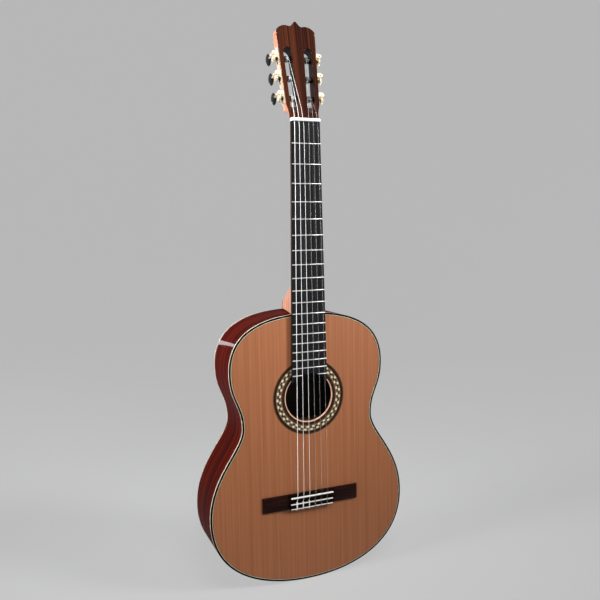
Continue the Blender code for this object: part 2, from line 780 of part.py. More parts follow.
def head_outline():
    """The head's outline: flared foot, straight sides, nicked ears and a crest with a small peak."""
    foot = NUT_WIDTH / 2 + HEAD_FOOT_MARGIN
    low = HEAD_LOW_WIDTH / 2
    top = HEAD_TOP_WIDTH / 2
    flare = HEAD_FLARE_END - HEAD_FLARE_START
    half = [(0, 0), (foot, 0)]
    half += bezier(
        (foot, HEAD_FLARE_START),
        (foot, HEAD_FLARE_START + flare * FLARE_BEND[0]),
        (low - flare * FLARE_BEND[1] * math.sin(HEAD_TAPER), HEAD_FLARE_END - flare * FLARE_BEND[1]),
        (low, HEAD_FLARE_END),
        HEAD_STEPS,
    )
    nick = HEAD_FLARE_END + HEAD_STRAIGHT
    ear = nick + NICK_HEIGHT
    corner = ear + EAR_HEIGHT
    half += [(low, HEAD_FLARE_END), (top, nick), (top - NICK_DEPTH, nick + NICK_HEIGHT / 2), (top, ear)]
    shoulder = (CREST_SHOULDER_WIDTH / 2, corner + CREST_SHOULDER_RISE)
    dip = (CREST_DIP_WIDTH / 2, corner + CREST_DIP_RISE)
    peak = (0, corner + CREST_PEAK_RISE)
    reach = top - shoulder[0]
    half += bezier(
        (top, corner),
        (top - reach * SHOULDER_BEND[0], corner + CREST_SHOULDER_RISE * SHOULDER_BEND[1]),
        (shoulder[0] + reach * SHOULDER_BEND[2], shoulder[1]),
        shoulder,
        HEAD_STEPS,
    )
    bend = (shoulder[0] - dip[0]) * DIP_BEND
    half += bezier(shoulder, (shoulder[0] - bend, shoulder[1]), (dip[0] + bend, dip[1]), dip, HEAD_STEPS)
    near_dip = (dip[0] * PEAK_BEND[0], dip[1])
    near_peak = (dip[0] * PEAK_BEND[1], peak[1] - NICK_DEPTH)
    half += bezier(dip, near_dip, near_peak, peak, HEAD_STEPS)
    return whole(half + [peak])


def slot_outline(side, low):
    """One slot: parallel to the head's side, with round ends."""
    radius = SLOT_WIDTH / 2
    middle = -SLOT_WALL - radius
    points = []
    for centre, turn in ((SLOT_ABOVE - radius, 1), (low + radius, -1)):
        points += [side_flat(centre + turn * rise, middle + turn * out) for out, rise in half_circle(radius)]
    return [(side * across, up) for across, up in points]


def ramp(side, low, high):
    """The slope at a slot's lower end, down which the strings run to their rollers."""
    face = HEADPLATE_THICKNESS
    inside = high + SLOT_WIDTH / 2
    profile = (
        (low + CLEARANCE, face - RAMP_DEPTH / 2),
        (low + CLEARANCE, face),
        (high, face + RAMP_DEPTH),
        (inside, face + RAMP_DEPTH),
        (inside, face - RAMP_DEPTH / 2),
    )
    walls = (-SLOT_WALL - CLEARANCE, -SLOT_WALL - SLOT_WIDTH + CLEARANCE)
    return [[side_point(side, along, out, deep) for along, deep in profile] for out in walls]


def foot_carving():
    """What is cut from the head's foot, so that its back runs over into the round neck."""
    face = HEAD_RISE / math.cos(HEAD_TILT)
    depth = HEAD_THICKNESS - face
    reach = HEAD_LOW_WIDTH / 2 + CLEARANCE
    neck = neck_section(NUT_WIDTH / 2, depth)
    block = block_section(reach, 0, depth + CLEARANCE)
    out = reach + HEAD_THICKNESS
    back = depth + HEAD_THICKNESS
    rim = [(-out, 0), (-out, back), (out, back), (out, 0)]
    stations = [(-HEADPLATE_THICKNESS, 0)]
    stations += [(HEAD_FOOT_RISE * share, share ** FOOT_POWER) for share in FOOT_SHARES]
    rings = []
    for up, blend in stations:
        section = [Vector(near).lerp(Vector(far), blend) for near, far in zip(neck, block)]
        rings.append([head_point(x, up, face + y) for x, y in section + rim])
    return rings


def add_head(core_material, plate_material):
    """The head's core and the plate glued on its face, with slots, roller holes and string ramps."""
    outline = head_outline()
    slot_low = -SLOT_BELOW
    ramp_low = slot_low + RAMP_LENGTH
    plate(
        "headplate",
        plate_material,
        [outline, slot_outline(1, slot_low), slot_outline(-1, slot_low)],
        lambda across, up: head_point(across, up, 0),
        lambda across, up: head_point(across, up, HEADPLATE_THICKNESS),
    )
    core = plate(
        "headstock",
        core_material,
        [outline, slot_outline(1, ramp_low), slot_outline(-1, ramp_low)],
        lambda across, up: head_point(across, up, HEADPLATE_THICKNESS + CLEARANCE),
        lambda across, up: head_point(across, up, HEAD_THICKNESS),
    )
    holes = []
    inner_end = -SLOT_WALL - SLOT_WIDTH - ROLLER_SEAT - CLEARANCE
    for side in (1, -1):
        for order in range(SIDE_COUNT):
            along = roller_along(order)
            rings = []
            for out in (inner_end, ROLLER_RADIUS):
                ring = bore(ROLLER_RADIUS, ROUND_STEPS)
                rings.append([side_point(side, along + u, out, ROLLER_DEPTH + v) for u, v in ring])
            holes.append(rings)
    combine(core, tool("roller_holes", holes))
    combine(core, tool("string_ramps", [ramp(side, slot_low, ramp_low) for side in (1, -1)]))
    combine(core, tool("foot_carving", [foot_carving()]))


# Tuning machines


def placed(origin, x_axis, z_axis):
    """The placing of a turned piece: its own Z is the axis it turns about."""
    rows = Matrix((x_axis, z_axis.cross(x_axis), z_axis))
    return Matrix.Translation(origin) @ rows.transposed().to_4x4()


def roller_along(order):
    """How far up the head's side a roller stands."""
    return ROLLER_FIRST + order * ROLLER_PITCH


def add_plate(name, side, material):
    """One tuning machine's base plate, waisted between its pairs of lugs for the worm shafts."""
    low = roller_along(0) - PLATE_END_MARGIN
    high = roller_along(SIDE_COUNT - 1) + AXIS_DISTANCE + PLATE_END_MARGIN
    corner = PLATE_CORNER
    wide = PLATE_WIDTH / 2
    edge = [(low, wide - corner), (low + corner, wide)]
    for i in range((SIDE_COUNT - 1) * PLATE_STEPS + 1):
        along = roller_along(i / PLATE_STEPS) + AXIS_DISTANCE / 2
        waist = ((1 - math.cos(2 * math.pi * i / PLATE_STEPS)) / 2) ** 2
        edge.append((along, wide - PLATE_WAIST * waist))
    edge += [(high - corner, wide), (high, wide - corner)]
    outline = [(along, ROLLER_DEPTH - width) for along, width in edge]
    outline += [(along, ROLLER_DEPTH + width) for along, width in reversed(edge)]
    ends = (CLEARANCE, PLATE_TOP)
    base = lofted(name, material, [[side_point(side, u, out, v) for u, v in outline] for out in ends])
    lugs = []
    holes = []
    for order in range(SIDE_COUNT):
        worm = roller_along(order) + AXIS_DISTANCE
        reach = LUG_WIDTH / 2
        foot = PLATE_TOP - PLATE_THICKNESS / 2 - GEAR_MIDDLE
        shape = [(reach, foot)] + half_circle(reach) + [(-reach, foot)]
        for place in (-1, 1):
            faces = (ROLLER_DEPTH + place * LUG_INNER, ROLLER_DEPTH + place * LUG_OUTER)
            rings = []
            for deep in faces:
                rings.append([side_point(side, worm + u, GEAR_MIDDLE + v, deep) for u, v in shape])
            lugs.append(rings)
        ring = bore(WORM_CORE, WORM_STEPS)
        faces = (ROLLER_DEPTH - PLATE_WIDTH, ROLLER_DEPTH + PLATE_WIDTH)
        holes.append([[side_point(side, worm + u, GEAR_MIDDLE + v, deep) for u, v in ring] for deep in faces])
        ring = bore(SPINDLE_RADIUS, ROUND_STEPS)
        faces = (-PLATE_THICKNESS, PLATE_TOP + PLATE_THICKNESS)
        along = roller_along(order)
        holes.append([[side_point(side, along + u, out, ROLLER_DEPTH + v) for u, v in ring] for out in faces])
    combine(base, tool(name + "_lugs", lugs), "UNION")
    combine(base, tool(name + "_holes", holes))


def add_roller(name, material):
    """A string roller. It turns in the head's wall, and its spindle carries the gear."""
    inner_end = -SLOT_WALL - SLOT_WIDTH - ROLLER_SEAT
    spindle_end = GEAR_MIDDLE - GEAR_WIDTH / 2 - CLEARANCE
    steps = (
        (inner_end, ROLLER_RADIUS),
        (-CLEARANCE, ROLLER_RADIUS),
        (-CLEARANCE, SPINDLE_RADIUS),
        (spindle_end, SPINDLE_RADIUS),
    )
    rings = [[(x, y, z) for x, y in circle(radius, ROUND_STEPS)] for z, radius in steps]
    return lofted(name, material, rings)


def add_gear(name, material):
    """The gear on a roller's spindle. Its teeth slant to follow the worm."""
    tip = GEAR_RADIUS + GEAR_ADDENDUM
    root = GEAR_RADIUS - GEAR_DEDENDUM
    corners = (
        (root, -TOOTH_ROOT_WIDTH / 2 / root),
        (tip, -TOOTH_TIP_WIDTH / 2 / tip),
        (tip, TOOTH_TIP_WIDTH / 2 / tip),
        (root, TOOTH_ROOT_WIDTH / 2 / root),
    )
    slant = GEAR_LEAD / (2 * math.pi * WORM_RADIUS) / GEAR_RADIUS
    rings = []
    for offset in (-GEAR_WIDTH / 2, GEAR_WIDTH / 2):
        ring = []
        for tooth in range(GEAR_TEETH):
            for radius, turn in corners:
                angle = 2 * math.pi * tooth / GEAR_TEETH + turn + offset * slant
                ring.append((radius * math.cos(angle), radius * math.sin(angle), GEAR_MIDDLE + offset))
        rings.append(ring)
    return lofted(name, material, rings)


def add_worm_shaft(name, material):
    """A shaft with a right-handed worm thread, which drives the gear and carries the knob."""
    profile = (
        (-THREAD_ROOT_WIDTH / 2, WORM_CORE),
        (-THREAD_CREST_WIDTH / 2, WORM_OUTER),
        (THREAD_CREST_WIDTH / 2, WORM_OUTER),
        (THREAD_ROOT_WIDTH / 2, WORM_CORE),
    )
    turns = WORM_TURNS + 2
    angles = [math.pi + 2 * math.pi * k / WORM_STEPS for k in range(WORM_STEPS)]
    bm = bmesh.new()
    rows = []
    for turn in range(turns):
        middle = (turn - turns // 2 - 0.5) * GEAR_LEAD
        for shift, radius in profile:
            if turn in (0, turns - 1):
                radius = WORM_CORE
            row = []
            for k, angle in enumerate(angles):
                z = middle + shift + GEAR_LEAD * k / WORM_STEPS
                row.append(bm.verts.new((radius * math.cos(angle), radius * math.sin(angle), z)))
            rows.append(row)
    ends = []
    for z in (-SHAFT_FRONT, KNOB_FRONT + KNOB_BORE - CLEARANCE):
        ends.append([bm.verts.new((WORM_CORE * math.cos(a), WORM_CORE * math.sin(a), z)) for a in angles])
        bm.faces.new(ends[-1])
    lead = len(profile)
    last = WORM_STEPS - 1
    for low, high in zip(rows, rows[1:]):
        for k in range(last):
            bm.faces.new((low[k], low[k + 1], high[k + 1], high[k]))
    for j in range(len(rows) - lead - 1):
        bm.faces.new((rows[j][last], rows[j + lead][0], rows[j + lead + 1][0], rows[j + 1][last]))
    for ring, row in ((ends[0], rows[0]), (ends[1], rows[-1])):
        for k in range(last):
            bm.faces.new((ring[k], ring[k + 1], row[k + 1], row[k]))
    first_step = [row[0] for row in rows[:lead + 1]]
    bm.faces.new([ends[0][last], ends[0][0]] + first_step + [rows[0][last]])
    last_step = [row[last] for row in rows[-1:-lead - 2:-1]]
    bm.faces.new([ends[1][0], ends[1][last]] + last_step + [rows[-1][0]])
    return piece(name, material, bm)


def add_knob(name, material):
    """An oval knob with a blind bore for the end of its shaft."""
    hole = bore(WORM_CORE, ROUND_STEPS)
    floor = KNOB_FRONT + KNOB_BORE
    rings = [[(x, y, z) for x, y in hole] for z in (floor, KNOB_FRONT)]
    for share, size in KNOB_PROFILE:
        reach = KNOB_WIDTH / 2 * size
        thick = KNOB_THICKNESS / 2 * (KNOB_CORE + (1 - KNOB_CORE) * size)
        z = KNOB_FRONT + KNOB_LENGTH * share
        rings.append([(reach * x, thick * y, z) for x, y in circle(1, ROUND_STEPS)])
    return lofted(name, material, rings)


def string_side(number):
    """Which side of the head a string winds on, and how far up: 0 is nearest the nut."""
    if number <= SIDE_COUNT:
        return 1, number - 1
    return -1, STRING_COUNT - number


def add_tuners(gold, black):
    """Both tuning machines: plates, rollers with gears, worm shafts with knobs."""
    add_plate("treble_tuner_plate", 1, gold)
    add_plate("bass_tuner_plate", -1, gold)
    for number in range(1, STRING_COUNT + 1):
        side, order = string_side(number)
        along_axis, out_axis = side_axes(side)
        along = roller_along(order)
        roller_place = placed(side_point(side, along, 0, ROLLER_DEPTH), along_axis, out_axis)
        knob_origin = side_point(side, along + AXIS_DISTANCE, GEAR_MIDDLE, ROLLER_DEPTH)
        knob_place = placed(knob_origin, along_axis, HEAD_BACK)
        label = str(number)
        add_roller("string_roller_" + label, black).matrix_world = roller_place
        add_gear("tuner_gear_" + label, gold).matrix_world = roller_place
        add_worm_shaft("worm_shaft_" + label, gold).matrix_world = knob_place
        add_knob("tuner_knob_" + label, black).matrix_world = knob_place


# Bridge


def string_x(number, pitch):
    """A string's distance from the centre line."""
    return ((STRING_COUNT + 1) / 2 - number) * pitch


def bridge_heights():
    """The bridge's section through its middle, from the tail side to the front, as z and height."""
    draft = BRIDGE_DRAFT
    tie_rear = BRIDGE_REAR_Z
    seat = STRIP_SEAT_HEIGHT
    strip = STRIP_WIDTH + CLEARANCE
    saddle_rear = TIE_FRONT_Z + CHANNEL_WIDTH
    return (
        (tie_rear, seat),
        (tie_rear + strip, seat),
        (tie_rear + strip + draft, TIE_BLOCK_HEIGHT),
        (TIE_FRONT_Z - strip - draft, TIE_BLOCK_HEIGHT),
        (TIE_FRONT_Z - strip, seat),
        (TIE_FRONT_Z, seat),
        (TIE_FRONT_Z + draft, CHANNEL_HEIGHT),
        (saddle_rear - draft, CHANNEL_HEIGHT),
        (saddle_rear, SADDLE_BLOCK_HEIGHT),
        (BRIDGE_FRONT_Z - BRIDGE_FRONT_EASE, SADDLE_BLOCK_HEIGHT),
        (BRIDGE_FRONT_Z, CHANNEL_HEIGHT),
    )


def add_bridge(material):
    """The bridge: low wings, a saddle block and a tie block with a hole for each string."""
    middle = bridge_heights()
    centre = (BRIDGE_FRONT_Z + BRIDGE_REAR_Z) / 2
    rings = []
    half = BRIDGE_LENGTH / 2
    block = BRIDGE_BLOCK_LENGTH / 2
    root = block + BRIDGE_DRAFT
    wing_places = ((half, WING_TIP_HEIGHT), (half - WING_TIP, WING_HEIGHT), (root, WING_HEIGHT))
    wings = []
    for x, height in wing_places:
        ring = [(-CLEARANCE, BRIDGE_REAR_Z), (-CLEARANCE, BRIDGE_FRONT_Z)]
        for z, _ in middle[::-1]:
            edge = abs(z - centre) / (BRIDGE_WIDTH / 2)
            ring.append((-height * (1 - WING_EDGE_FALL * edge ** WING_EDGE_POWER), z))
        wings.append((x, ring))
    block_ring = [(-CLEARANCE, BRIDGE_REAR_Z), (-CLEARANCE, BRIDGE_FRONT_Z)]
    block_ring += [(-height, z) for z, height in middle[::-1]]
    course = wings + [(block, block_ring), (-block, block_ring)] + [(-x, ring) for x, ring in wings[::-1]]
    for x, ring in course:
        rings.append([(x, y, z) for y, z in ring])
    bridge = lofted("bridge", material, rings)
    cuts = []
    slot_x = SADDLE_LENGTH / 2 + CLEARANCE
    slot_z = SADDLE_THICKNESS / 2 + CLEARANCE
    mouth = 2 * SADDLE_BLOCK_HEIGHT
    corners = ((-slot_x, -slot_z), (slot_x, -slot_z), (slot_x, slot_z), (-slot_x, slot_z))
    depths = (-mouth, CLEARANCE - SADDLE_SEAT)
    cuts.append([[(x, y, z - SCALE_LENGTH) for x, z in corners] for y in depths])
    for number, diameter in enumerate(STRING_DIAMETERS, 1):
        x = string_x(number, STRING_PITCH_AT_SADDLE)
        ring = bore(diameter / 2, STRING_HOLE_STEPS)
        ends = (BRIDGE_REAR_Z - CHANNEL_WIDTH / 2, TIE_FRONT_Z + CHANNEL_WIDTH / 2)
        cuts.append([[(x + u, v - TIE_HOLE_HEIGHT, z) for u, v in ring] for z in ends])
    combine(bridge, tool("bridge_cuts", cuts))


def add_saddle(material):
    """The bone saddle in its slot, with a rounded top."""
    half = SADDLE_THICKNESS / 2
    top = [(half - SADDLE_HEIGHT - rise, z) for z, rise in half_circle(half)]
    profile = [(-SADDLE_SEAT, half)] + top + [(-SADDLE_SEAT, -half)]
    ends = (-SADDLE_LENGTH / 2, SADDLE_LENGTH / 2)
    lofted("saddle", material, [[(x, y, z - SCALE_LENGTH) for y, z in profile] for x in ends])


def add_tie_strips(material):
    """The bone strips let into both upper edges of the tie block."""
    ends = (-SADDLE_LENGTH / 2, SADDLE_LENGTH / 2)
    top = -TIE_BLOCK_HEIGHT
    floor = top + STRIP_HEIGHT
    places = {"rear_tie_strip": BRIDGE_REAR_Z, "front_tie_strip": TIE_FRONT_Z - STRIP_WIDTH}
    for name, low in places.items():
        high = low + STRIP_WIDTH
        profile = ((floor, low), (floor, high), (top, high), (top, low))
        lofted(name, material, [[(x, y, z) for y, z in profile] for x in ends])


# Strings


def winding(number, radius, start):
    """The run from the nut to the roller and the turns round it."""
    side, order = string_side(number)
    along_axis, out_axis = side_axes(side)
    coil = ROLLER_RADIUS + CLEARANCE + radius
    pitch = 2 * radius + WINDING_GAP
    middle = -SLOT_WALL - SLOT_WIDTH / 2
    axis = side_point(side, roller_along(order), middle, ROLLER_DEPTH)
    outward = 1 if abs(start.x) < abs(axis.x) else -1
    to_axis = axis - start
    distance = math.hypot(to_axis.dot(along_axis), to_axis.dot(HEAD_BACK))
    bearing = math.atan2(to_axis.dot(HEAD_BACK), to_axis.dot(along_axis))
    first = bearing - math.asin(coil / distance)
    points = []
    for i in range(WINDING_TURNS * TURN_POINTS + 1):
        angle = first + 2 * math.pi * i / TURN_POINTS
        across = outward * pitch * (i / TURN_POINTS - WINDING_TURNS / 2)
        place = axis + out_axis * across + along_axis * coil * math.sin(angle)
        points.append(place - HEAD_BACK * coil * math.cos(angle))
    return points


def string_path(number, radius):
    """A string's route: tied at the bridge, over the saddle and the nut, and round its roller."""
    x = string_x(number, STRING_PITCH_AT_SADDLE)
    above = CLEARANCE + radius
    tie_top = -TIE_BLOCK_HEIGHT - above
    rear = BRIDGE_REAR_Z - above
    hole = -TIE_HOLE_HEIGHT
    saddle = -SADDLE_HEIGHT - above
    route = (
        (tie_top, TIE_FRONT_Z),
        (tie_top, rear + TIE_BEND),
        (tie_top + TIE_BEND, rear),
        (hole - TIE_BEND, rear),
        (hole, rear + TIE_BEND),
        (hole, TIE_FRONT_Z + above),
        (saddle, -SCALE_LENGTH - SADDLE_THICKNESS / 2),
        (saddle, -SCALE_LENGTH + SADDLE_THICKNESS / 2),
    )
    points = [Vector((x, y, z)) for y, z in route]
    nut_x = string_x(number, STRING_PITCH_AT_NUT)
    points += [Vector((nut_x, -NUT_HEIGHT - above, z)) for z in (0, NUT_THICKNESS)]
    return points + winding(number, radius, points[-1])


def least_gap(points, radius):
    """The least gap of a winding to itself, between points at least half a turn apart."""
    apart = TURN_POINTS // 2
    turns = points[-WINDING_TURNS * TURN_POINTS - 2:]
    gaps = []
    for i, here in enumerate(turns):
        gaps += [(here - there).length for there in turns[i + apart:]]
    return min(gaps) - 2 * radius


def add_strings(bass, treble):
    """Six strings, each one unbroken tube from the tie block to its roller."""
    for number, diameter in enumerate(STRING_DIAMETERS, 1):
        radius = diameter / 2
        points = string_path(number, radius)
        name = "string_" + str(number)
        curve = bpy.data.curves.new(name, "CURVE")
        curve.dimensions = "3D"
        curve.bevel_depth = radius
        curve.bevel_resolution = 1
        curve.use_fill_caps = True
        spline = curve.splines.new("POLY")
        spline.points.add(len(points) - 1)
        for target, point in zip(spline.points, points):
            target.co = (*point, 1)
        curve.materials.append(treble if number <= SIDE_COUNT else bass)
        bpy.context.scene.collection.objects.link(bpy.data.objects.new(name, curve))
        length = sum((far - near).length for near, far in zip(points, points[1:]))
        gap = least_gap(points, radius)
        print(f"{name}: length {length:.4f} m, least gap in its winding {gap * 1000:.2f} mm")


def main():
    """Builds the whole instrument."""
    for old in list(bpy.data.objects):
        bpy.data.objects.remove(old, do_unlink=True)
    cedar = finish("cedar", (0.40, 0.19, 0.09), 0.35)
    rosewood = finish("rosewood", (0.11, 0.018, 0.010), 0.22)
    dark_rosewood = finish("dark_rosewood", (0.020, 0.007, 0.003), 0.35)
    headplate_wood = finish("headplate_rosewood", (0.075, 0.022, 0.012), 0.30)
    mahogany = finish("neck_wood", (0.42, 0.18, 0.09), 0.35)
    spruce = finish("spruce", (0.55, 0.36, 0.19), 0.6)
    ebony = finish("ebony", (0.010, 0.008, 0.008), 0.4)
    binding = finish("binding", (0.012, 0.009, 0.008), 0.25)
    mosaic = finish("mosaic", (0.10, 0.05, 0.025), 0.35)
    bone = finish("bone", (0.80, 0.77, 0.68), 0.4)
    nickel = finish("fret_wire", (0.70, 0.69, 0.66), 0.25, 1.0)
    gold = finish("gold_plate", (0.83, 0.62, 0.27), 0.25, 1.0)
    black = finish("black_plastic", (0.010, 0.010, 0.011), 0.2)
    wound = finish("silvered_winding", (0.78, 0.78, 0.78), 0.3, 1.0)
    nylon = finish("nylon", (0.68, 0.68, 0.66), 0.15)
    outline = half_outline()
    add_bindings(outline, binding)
    add_sides(outline, rosewood)
    add_linings(outline, spruce)
    add_tail_block(outline, spruce)
    add_soundboard(outline, cedar)
    add_rosette(mosaic)
    add_back(outline, rosewood)
    add_cross_bars(outline, spruce)
    add_fan_bracing(spruce)
    add_neck(outline, mahogany)
    add_heel_cap(rosewood)
    add_fingerboard(ebony, nickel)
    add_nut(bone)
    add_head(mahogany, headplate_wood)
    add_tuners(gold, black)
    add_bridge(dark_rosewood)
    add_saddle(bone)
    add_tie_strips(bone)
    add_strings(wound, nylon)


main()
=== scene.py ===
"""Looks for a classical guitar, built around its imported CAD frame, in metres.

The strings run up +Z, the soundboard faces -Y and -X is the bass side. The origin lies on the
centre line, where the strings leave the front edge of the nut.
"""

import math

import bmesh
import bpy
from mathutils import Matrix, Vector


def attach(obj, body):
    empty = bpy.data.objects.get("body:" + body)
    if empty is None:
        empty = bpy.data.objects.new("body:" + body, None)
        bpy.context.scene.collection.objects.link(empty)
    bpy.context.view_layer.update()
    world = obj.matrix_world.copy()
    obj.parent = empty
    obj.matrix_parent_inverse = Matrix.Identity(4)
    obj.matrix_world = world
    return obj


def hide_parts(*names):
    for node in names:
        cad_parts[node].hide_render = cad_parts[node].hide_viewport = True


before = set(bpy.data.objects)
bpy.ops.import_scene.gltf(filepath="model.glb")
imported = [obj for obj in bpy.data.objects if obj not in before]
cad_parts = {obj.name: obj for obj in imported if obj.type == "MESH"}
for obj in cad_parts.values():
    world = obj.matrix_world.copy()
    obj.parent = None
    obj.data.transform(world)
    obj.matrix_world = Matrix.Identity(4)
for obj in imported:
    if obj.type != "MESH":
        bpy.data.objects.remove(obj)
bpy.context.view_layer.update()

# Sizes that the frame was built with
CLEARANCE = 0.0003
SCALE_LENGTH = 0.650
BODY_TOP = -0.325
BODY_LENGTH = 0.482
UPPER_BOUT = (0.1445, BODY_TOP - 0.0955)
WAIST = (0.123, BODY_TOP - 0.192)
LOWER_BOUT = (0.184, BODY_TOP - 0.347)
SHOULDER_FULLNESS = (0.65, 0.68)
UPPER_SIDE_FULLNESS = (0.49, 0.43)
LOWER_SIDE_FULLNESS = (0.24, 0.51)
TAIL_FULLNESS = (0.69, 0.55)
DEPTH_AT_NECK = 0.092
DEPTH_GROWTH = 0.006
SIDE_THICKNESS = 0.0025
SOUNDBOARD_THICKNESS = 0.0025
BACK_THICKNESS = 0.0028
HEEL_WEB = 0.0113
HOLE_Z = -0.4734
HOLE_RADIUS = 0.0439
NUT_WIDTH = 0.052
BODY_FRET_WIDTH = 0.062
NUT_THICKNESS = 0.0055
BOARD_TOP = 0.0063
BOARD_END = -0.4446
BOARD_END_RADIUS = 0.0430
FRET_COUNT = 19
FRET_HALF_WIDTH = 0.0009
STRING_COUNT = 6
SIDE_COUNT = 3
STRING_DIAMETERS = (0.00071, 0.00082, 0.00102, 0.00074, 0.00088, 0.00109)
STRING_PITCH_AT_NUT = 0.0085
STRING_PITCH_AT_SADDLE = 0.0116

# Edge strips of the sound box, as distances in from its edge and down from its faces
BINDING_WIDTH = 0.0033
BINDING_ROUND = 0.0006
BLACK_LOW = 0.0010
CREAM_LOW = 0.0040
LIGHT_LINE_IN = 0.0040
DARK_LINE_IN = 0.0047
LINE_DEPTH = 0.0016
BACK_BLACK_LOW = 0.0010
BACK_CREAM_LOW = 0.0034
BACK_LIGHT_IN = 0.0040
BACK_LINE_REACH = 0.0012
BACK_LINE_PROUD = 0.00004

# Share of a strip's rounding by which its corner is cut
BINDING_CORNER = 0.3

# Rosette, from the outside in, and the eased edge of the sound hole
RING_EDGES = (
    (0.0674, "brown"), (0.0664, "dark"), (0.0660, "brown"), (0.0654, "dark"), (0.0637, "brown"),
    (0.0634, "dark"), (0.0620, "brown"), (0.0612, None),
)
INNER_RING_EDGES = (
    (0.0521, "brown"), (0.0508, "dark"), (0.0502, "brown"), (0.0498, "dark"), (0.0482, "brown"),
    (0.0478, "dark"), (0.0456, None),
)
ROSETTE_THICKNESS = 0.001
HOLE_EASE = 0.0005

# Mosaic of tiles. Across the band, -1 is its outer edge and 1 its inner edge.
# Lengths along the band are shares of a wave.
WAVE_COUNT = 31
TILES_PER_WAVE = 22
TILE_ROWS = 17
WAVE_START = 0.29
HOOK_REACH = 0.36
HOOK_HEIGHT = 0.36
HOOK_WIDTH = 0.21
BAY_START = 0.14
BAY_TOP = -0.12
BAY_DEPTH = 0.84

# Fret wires and nut
FRET_SETBACK = 0.0002
FRET_SLOPE = 0.0005
FRET_END_RISE = 0.55
FRET_SEAT = 0.0004
NUT_HEIGHT = 0.0089
NUT_EASE = 0.0009
NUT_SLOT_GAP = 0.00015
NUT_SLOT_SLOPE = 0.0002
NUT_SLOT_SHOULDER = 0.0004
NUT_SLOT_FLOOR = 0.0084

# Head and tuning machines
HEAD_TILT = math.radians(12.5)
HEAD_ORIGIN = Vector((0, -0.0016, 0.0061))
HEAD_UP = Vector((0, math.sin(HEAD_TILT), math.cos(HEAD_TILT)))
HEAD_BACK = Vector((0, math.cos(HEAD_TILT), -math.sin(HEAD_TILT)))
HEADPLATE_THICKNESS = 0.0025
HEAD_FOOT = 0.0263
HEAD_LOW = 0.0303
HEAD_TOP = 0.0350
FLARE_START = 0.006
FLARE_END = 0.0282
HEAD_STRAIGHT = 0.1198
HEAD_TAPER = math.atan2(HEAD_TOP - HEAD_LOW, HEAD_STRAIGHT)
NICK_DEPTH = 0.0012
NICK_MIDDLE = 0.0017
NICK_HEIGHT = 0.0034
EAR_HEIGHT = 0.0072
SHOULDER = (0.018, 0.0085)
DIP = (0.011, 0.0074)
PEAK_HEIGHT = 0.0165
PEAK_FLANK = 0.0012
SLOT_WIDTH = 0.0155
SLOT_WALL = 0.0071
SLOT_LOW = -0.0188
SLOT_HIGH = 0.0960
ROLLER_FIRST = 0.0090
ROLLER_PITCH = 0.035
ROLLER_DEPTH = 0.0105
RAMP_END = -0.0048
RAMP_FLOOR = 0.0133
PLATE_TOP = 0.0015
GEAR_FACE = 0.0099
# Margins of the painted shade on the walls of the head's slots
SLOT_SHADE_MARGIN = 0.0005
SLOT_SHADE_END_MARGIN = 0.001
FACE_ON = 0.9

# Shares that shape the head's curves: how far each handle reaches from its point
FOOT_HANDLE = 0.4
FLARE_HANDLE = 0.35
EAR_HANDLE = (0.25, 0.6)
SHOULDER_HANDLE = 0.4
DIP_HANDLE = 0.4
DIP_INNER = 0.6
PEAK_INNER = 0.35

# Screws: places beside each roller, radius and height, turn of the slot, and shares of their form
PLATE_SCREWS = (-0.0085, 0.0144)
PLATE_SCREW_SIZE = (0.0016, 0.0009)
PLATE_SCREW_SPIN = 40
GEAR_SCREW_SIZE = (0.0024, 0.0010)
GEAR_SCREW_SPIN = 0.3
SCREW_BASE = 0.5
SCREW_SLOT = 0.14
SCREW_RINGS = ((1, 0.45), (1, 0.75), (0.86, 0.95), (0.6, 1))

# Bridge and string ties
BLOCK_REACH = 0.0425
TIE_FRONT = -0.6607
TIE_REAR = -0.6711
TIE_TOP = -0.0090
TIE_SIDE_LEVEL = -0.0076
TIE_HOLE_LEVEL = -0.0062
TIE_LOOP = 2.3

# Widths of the rounded edges
WOOD_EASE = 0.0004
THIN_EASE = 0.0003
FINE_EASE = 0.0002
GEAR_EASE = 0.00012

# Wood grain: stops of its shades and of its pores, the pores' share of a streak, and its bump
GRAIN_STOPS = (0.36, 0.5, 0.64)
PORE_STOPS = (0.60, 0.72)
PORE_SHARE = 0.35
GRAIN_BUMP = 0.00006

# Brightness of the surroundings as the camera sees them, and its share of the backdrop's look
PALE = 0.66
PALE_SHARE = 0.7
SKY_TINT = (0.9, 0.95, 1.0, 1)
SKY_STRENGTH = 0.08

# Stage
FLOOR_DROP = 0.0005
FLOOR_FRONT = (-6.0, -1.0)
STAGE_REACH = 7.0
SWEEP_RADIUS = 1.2
WALL_Y = 3.0
WALL_HEIGHT = 7.0

# Camera, worked out from the photograph. Its angles are yaw, pitch and roll in degrees.
CAMERA_PLACE = (-0.4576, -1.0846, -0.1822)
CAMERA_ANGLES = (22.26, -5.82, -1.0)
CAMERA_SENSOR = 36
CAMERA_LENS = 40.93

# Fineness of the curves and of the copies of CAD nodes
OUTLINE_STEPS = 40
HOLE_STEPS = 144
HEAD_STEPS = 12
HALF_TURN_STEPS = 16
SCREW_STEPS = 12
SWEEP_STEPS = 24
WELD_DISTANCE = 1e-6
JOIN_ANGLE = math.radians(15)
FLAT_ANGLE = math.radians(0.5)


# Shader helpers


def hex_colour(code, strength=1.0):
    """A linear colour from an sRGB code."""
    channels = [int(code[i:i + 2], 16) / 255 for i in (0, 2, 4)]
    linear = [c / 12.92 if c <= 0.04045 else ((c + 0.055) / 1.055) ** 2.4 for c in channels]
    return [min(1.0, c * strength) for c in linear] + [1.0]


def node(tree, kind, inputs=None, **settings):
    """A shader node with its settings, and its sockets linked or set."""
    made = tree.nodes.new("ShaderNode" + kind)
    for name, value in settings.items():
        setattr(made, name, value)
    for name, value in (inputs or {}).items():
        if isinstance(value, bpy.types.NodeSocket):
            tree.links.new(value, made.inputs[name])
        else:
            made.inputs[name].default_value = value
    return made


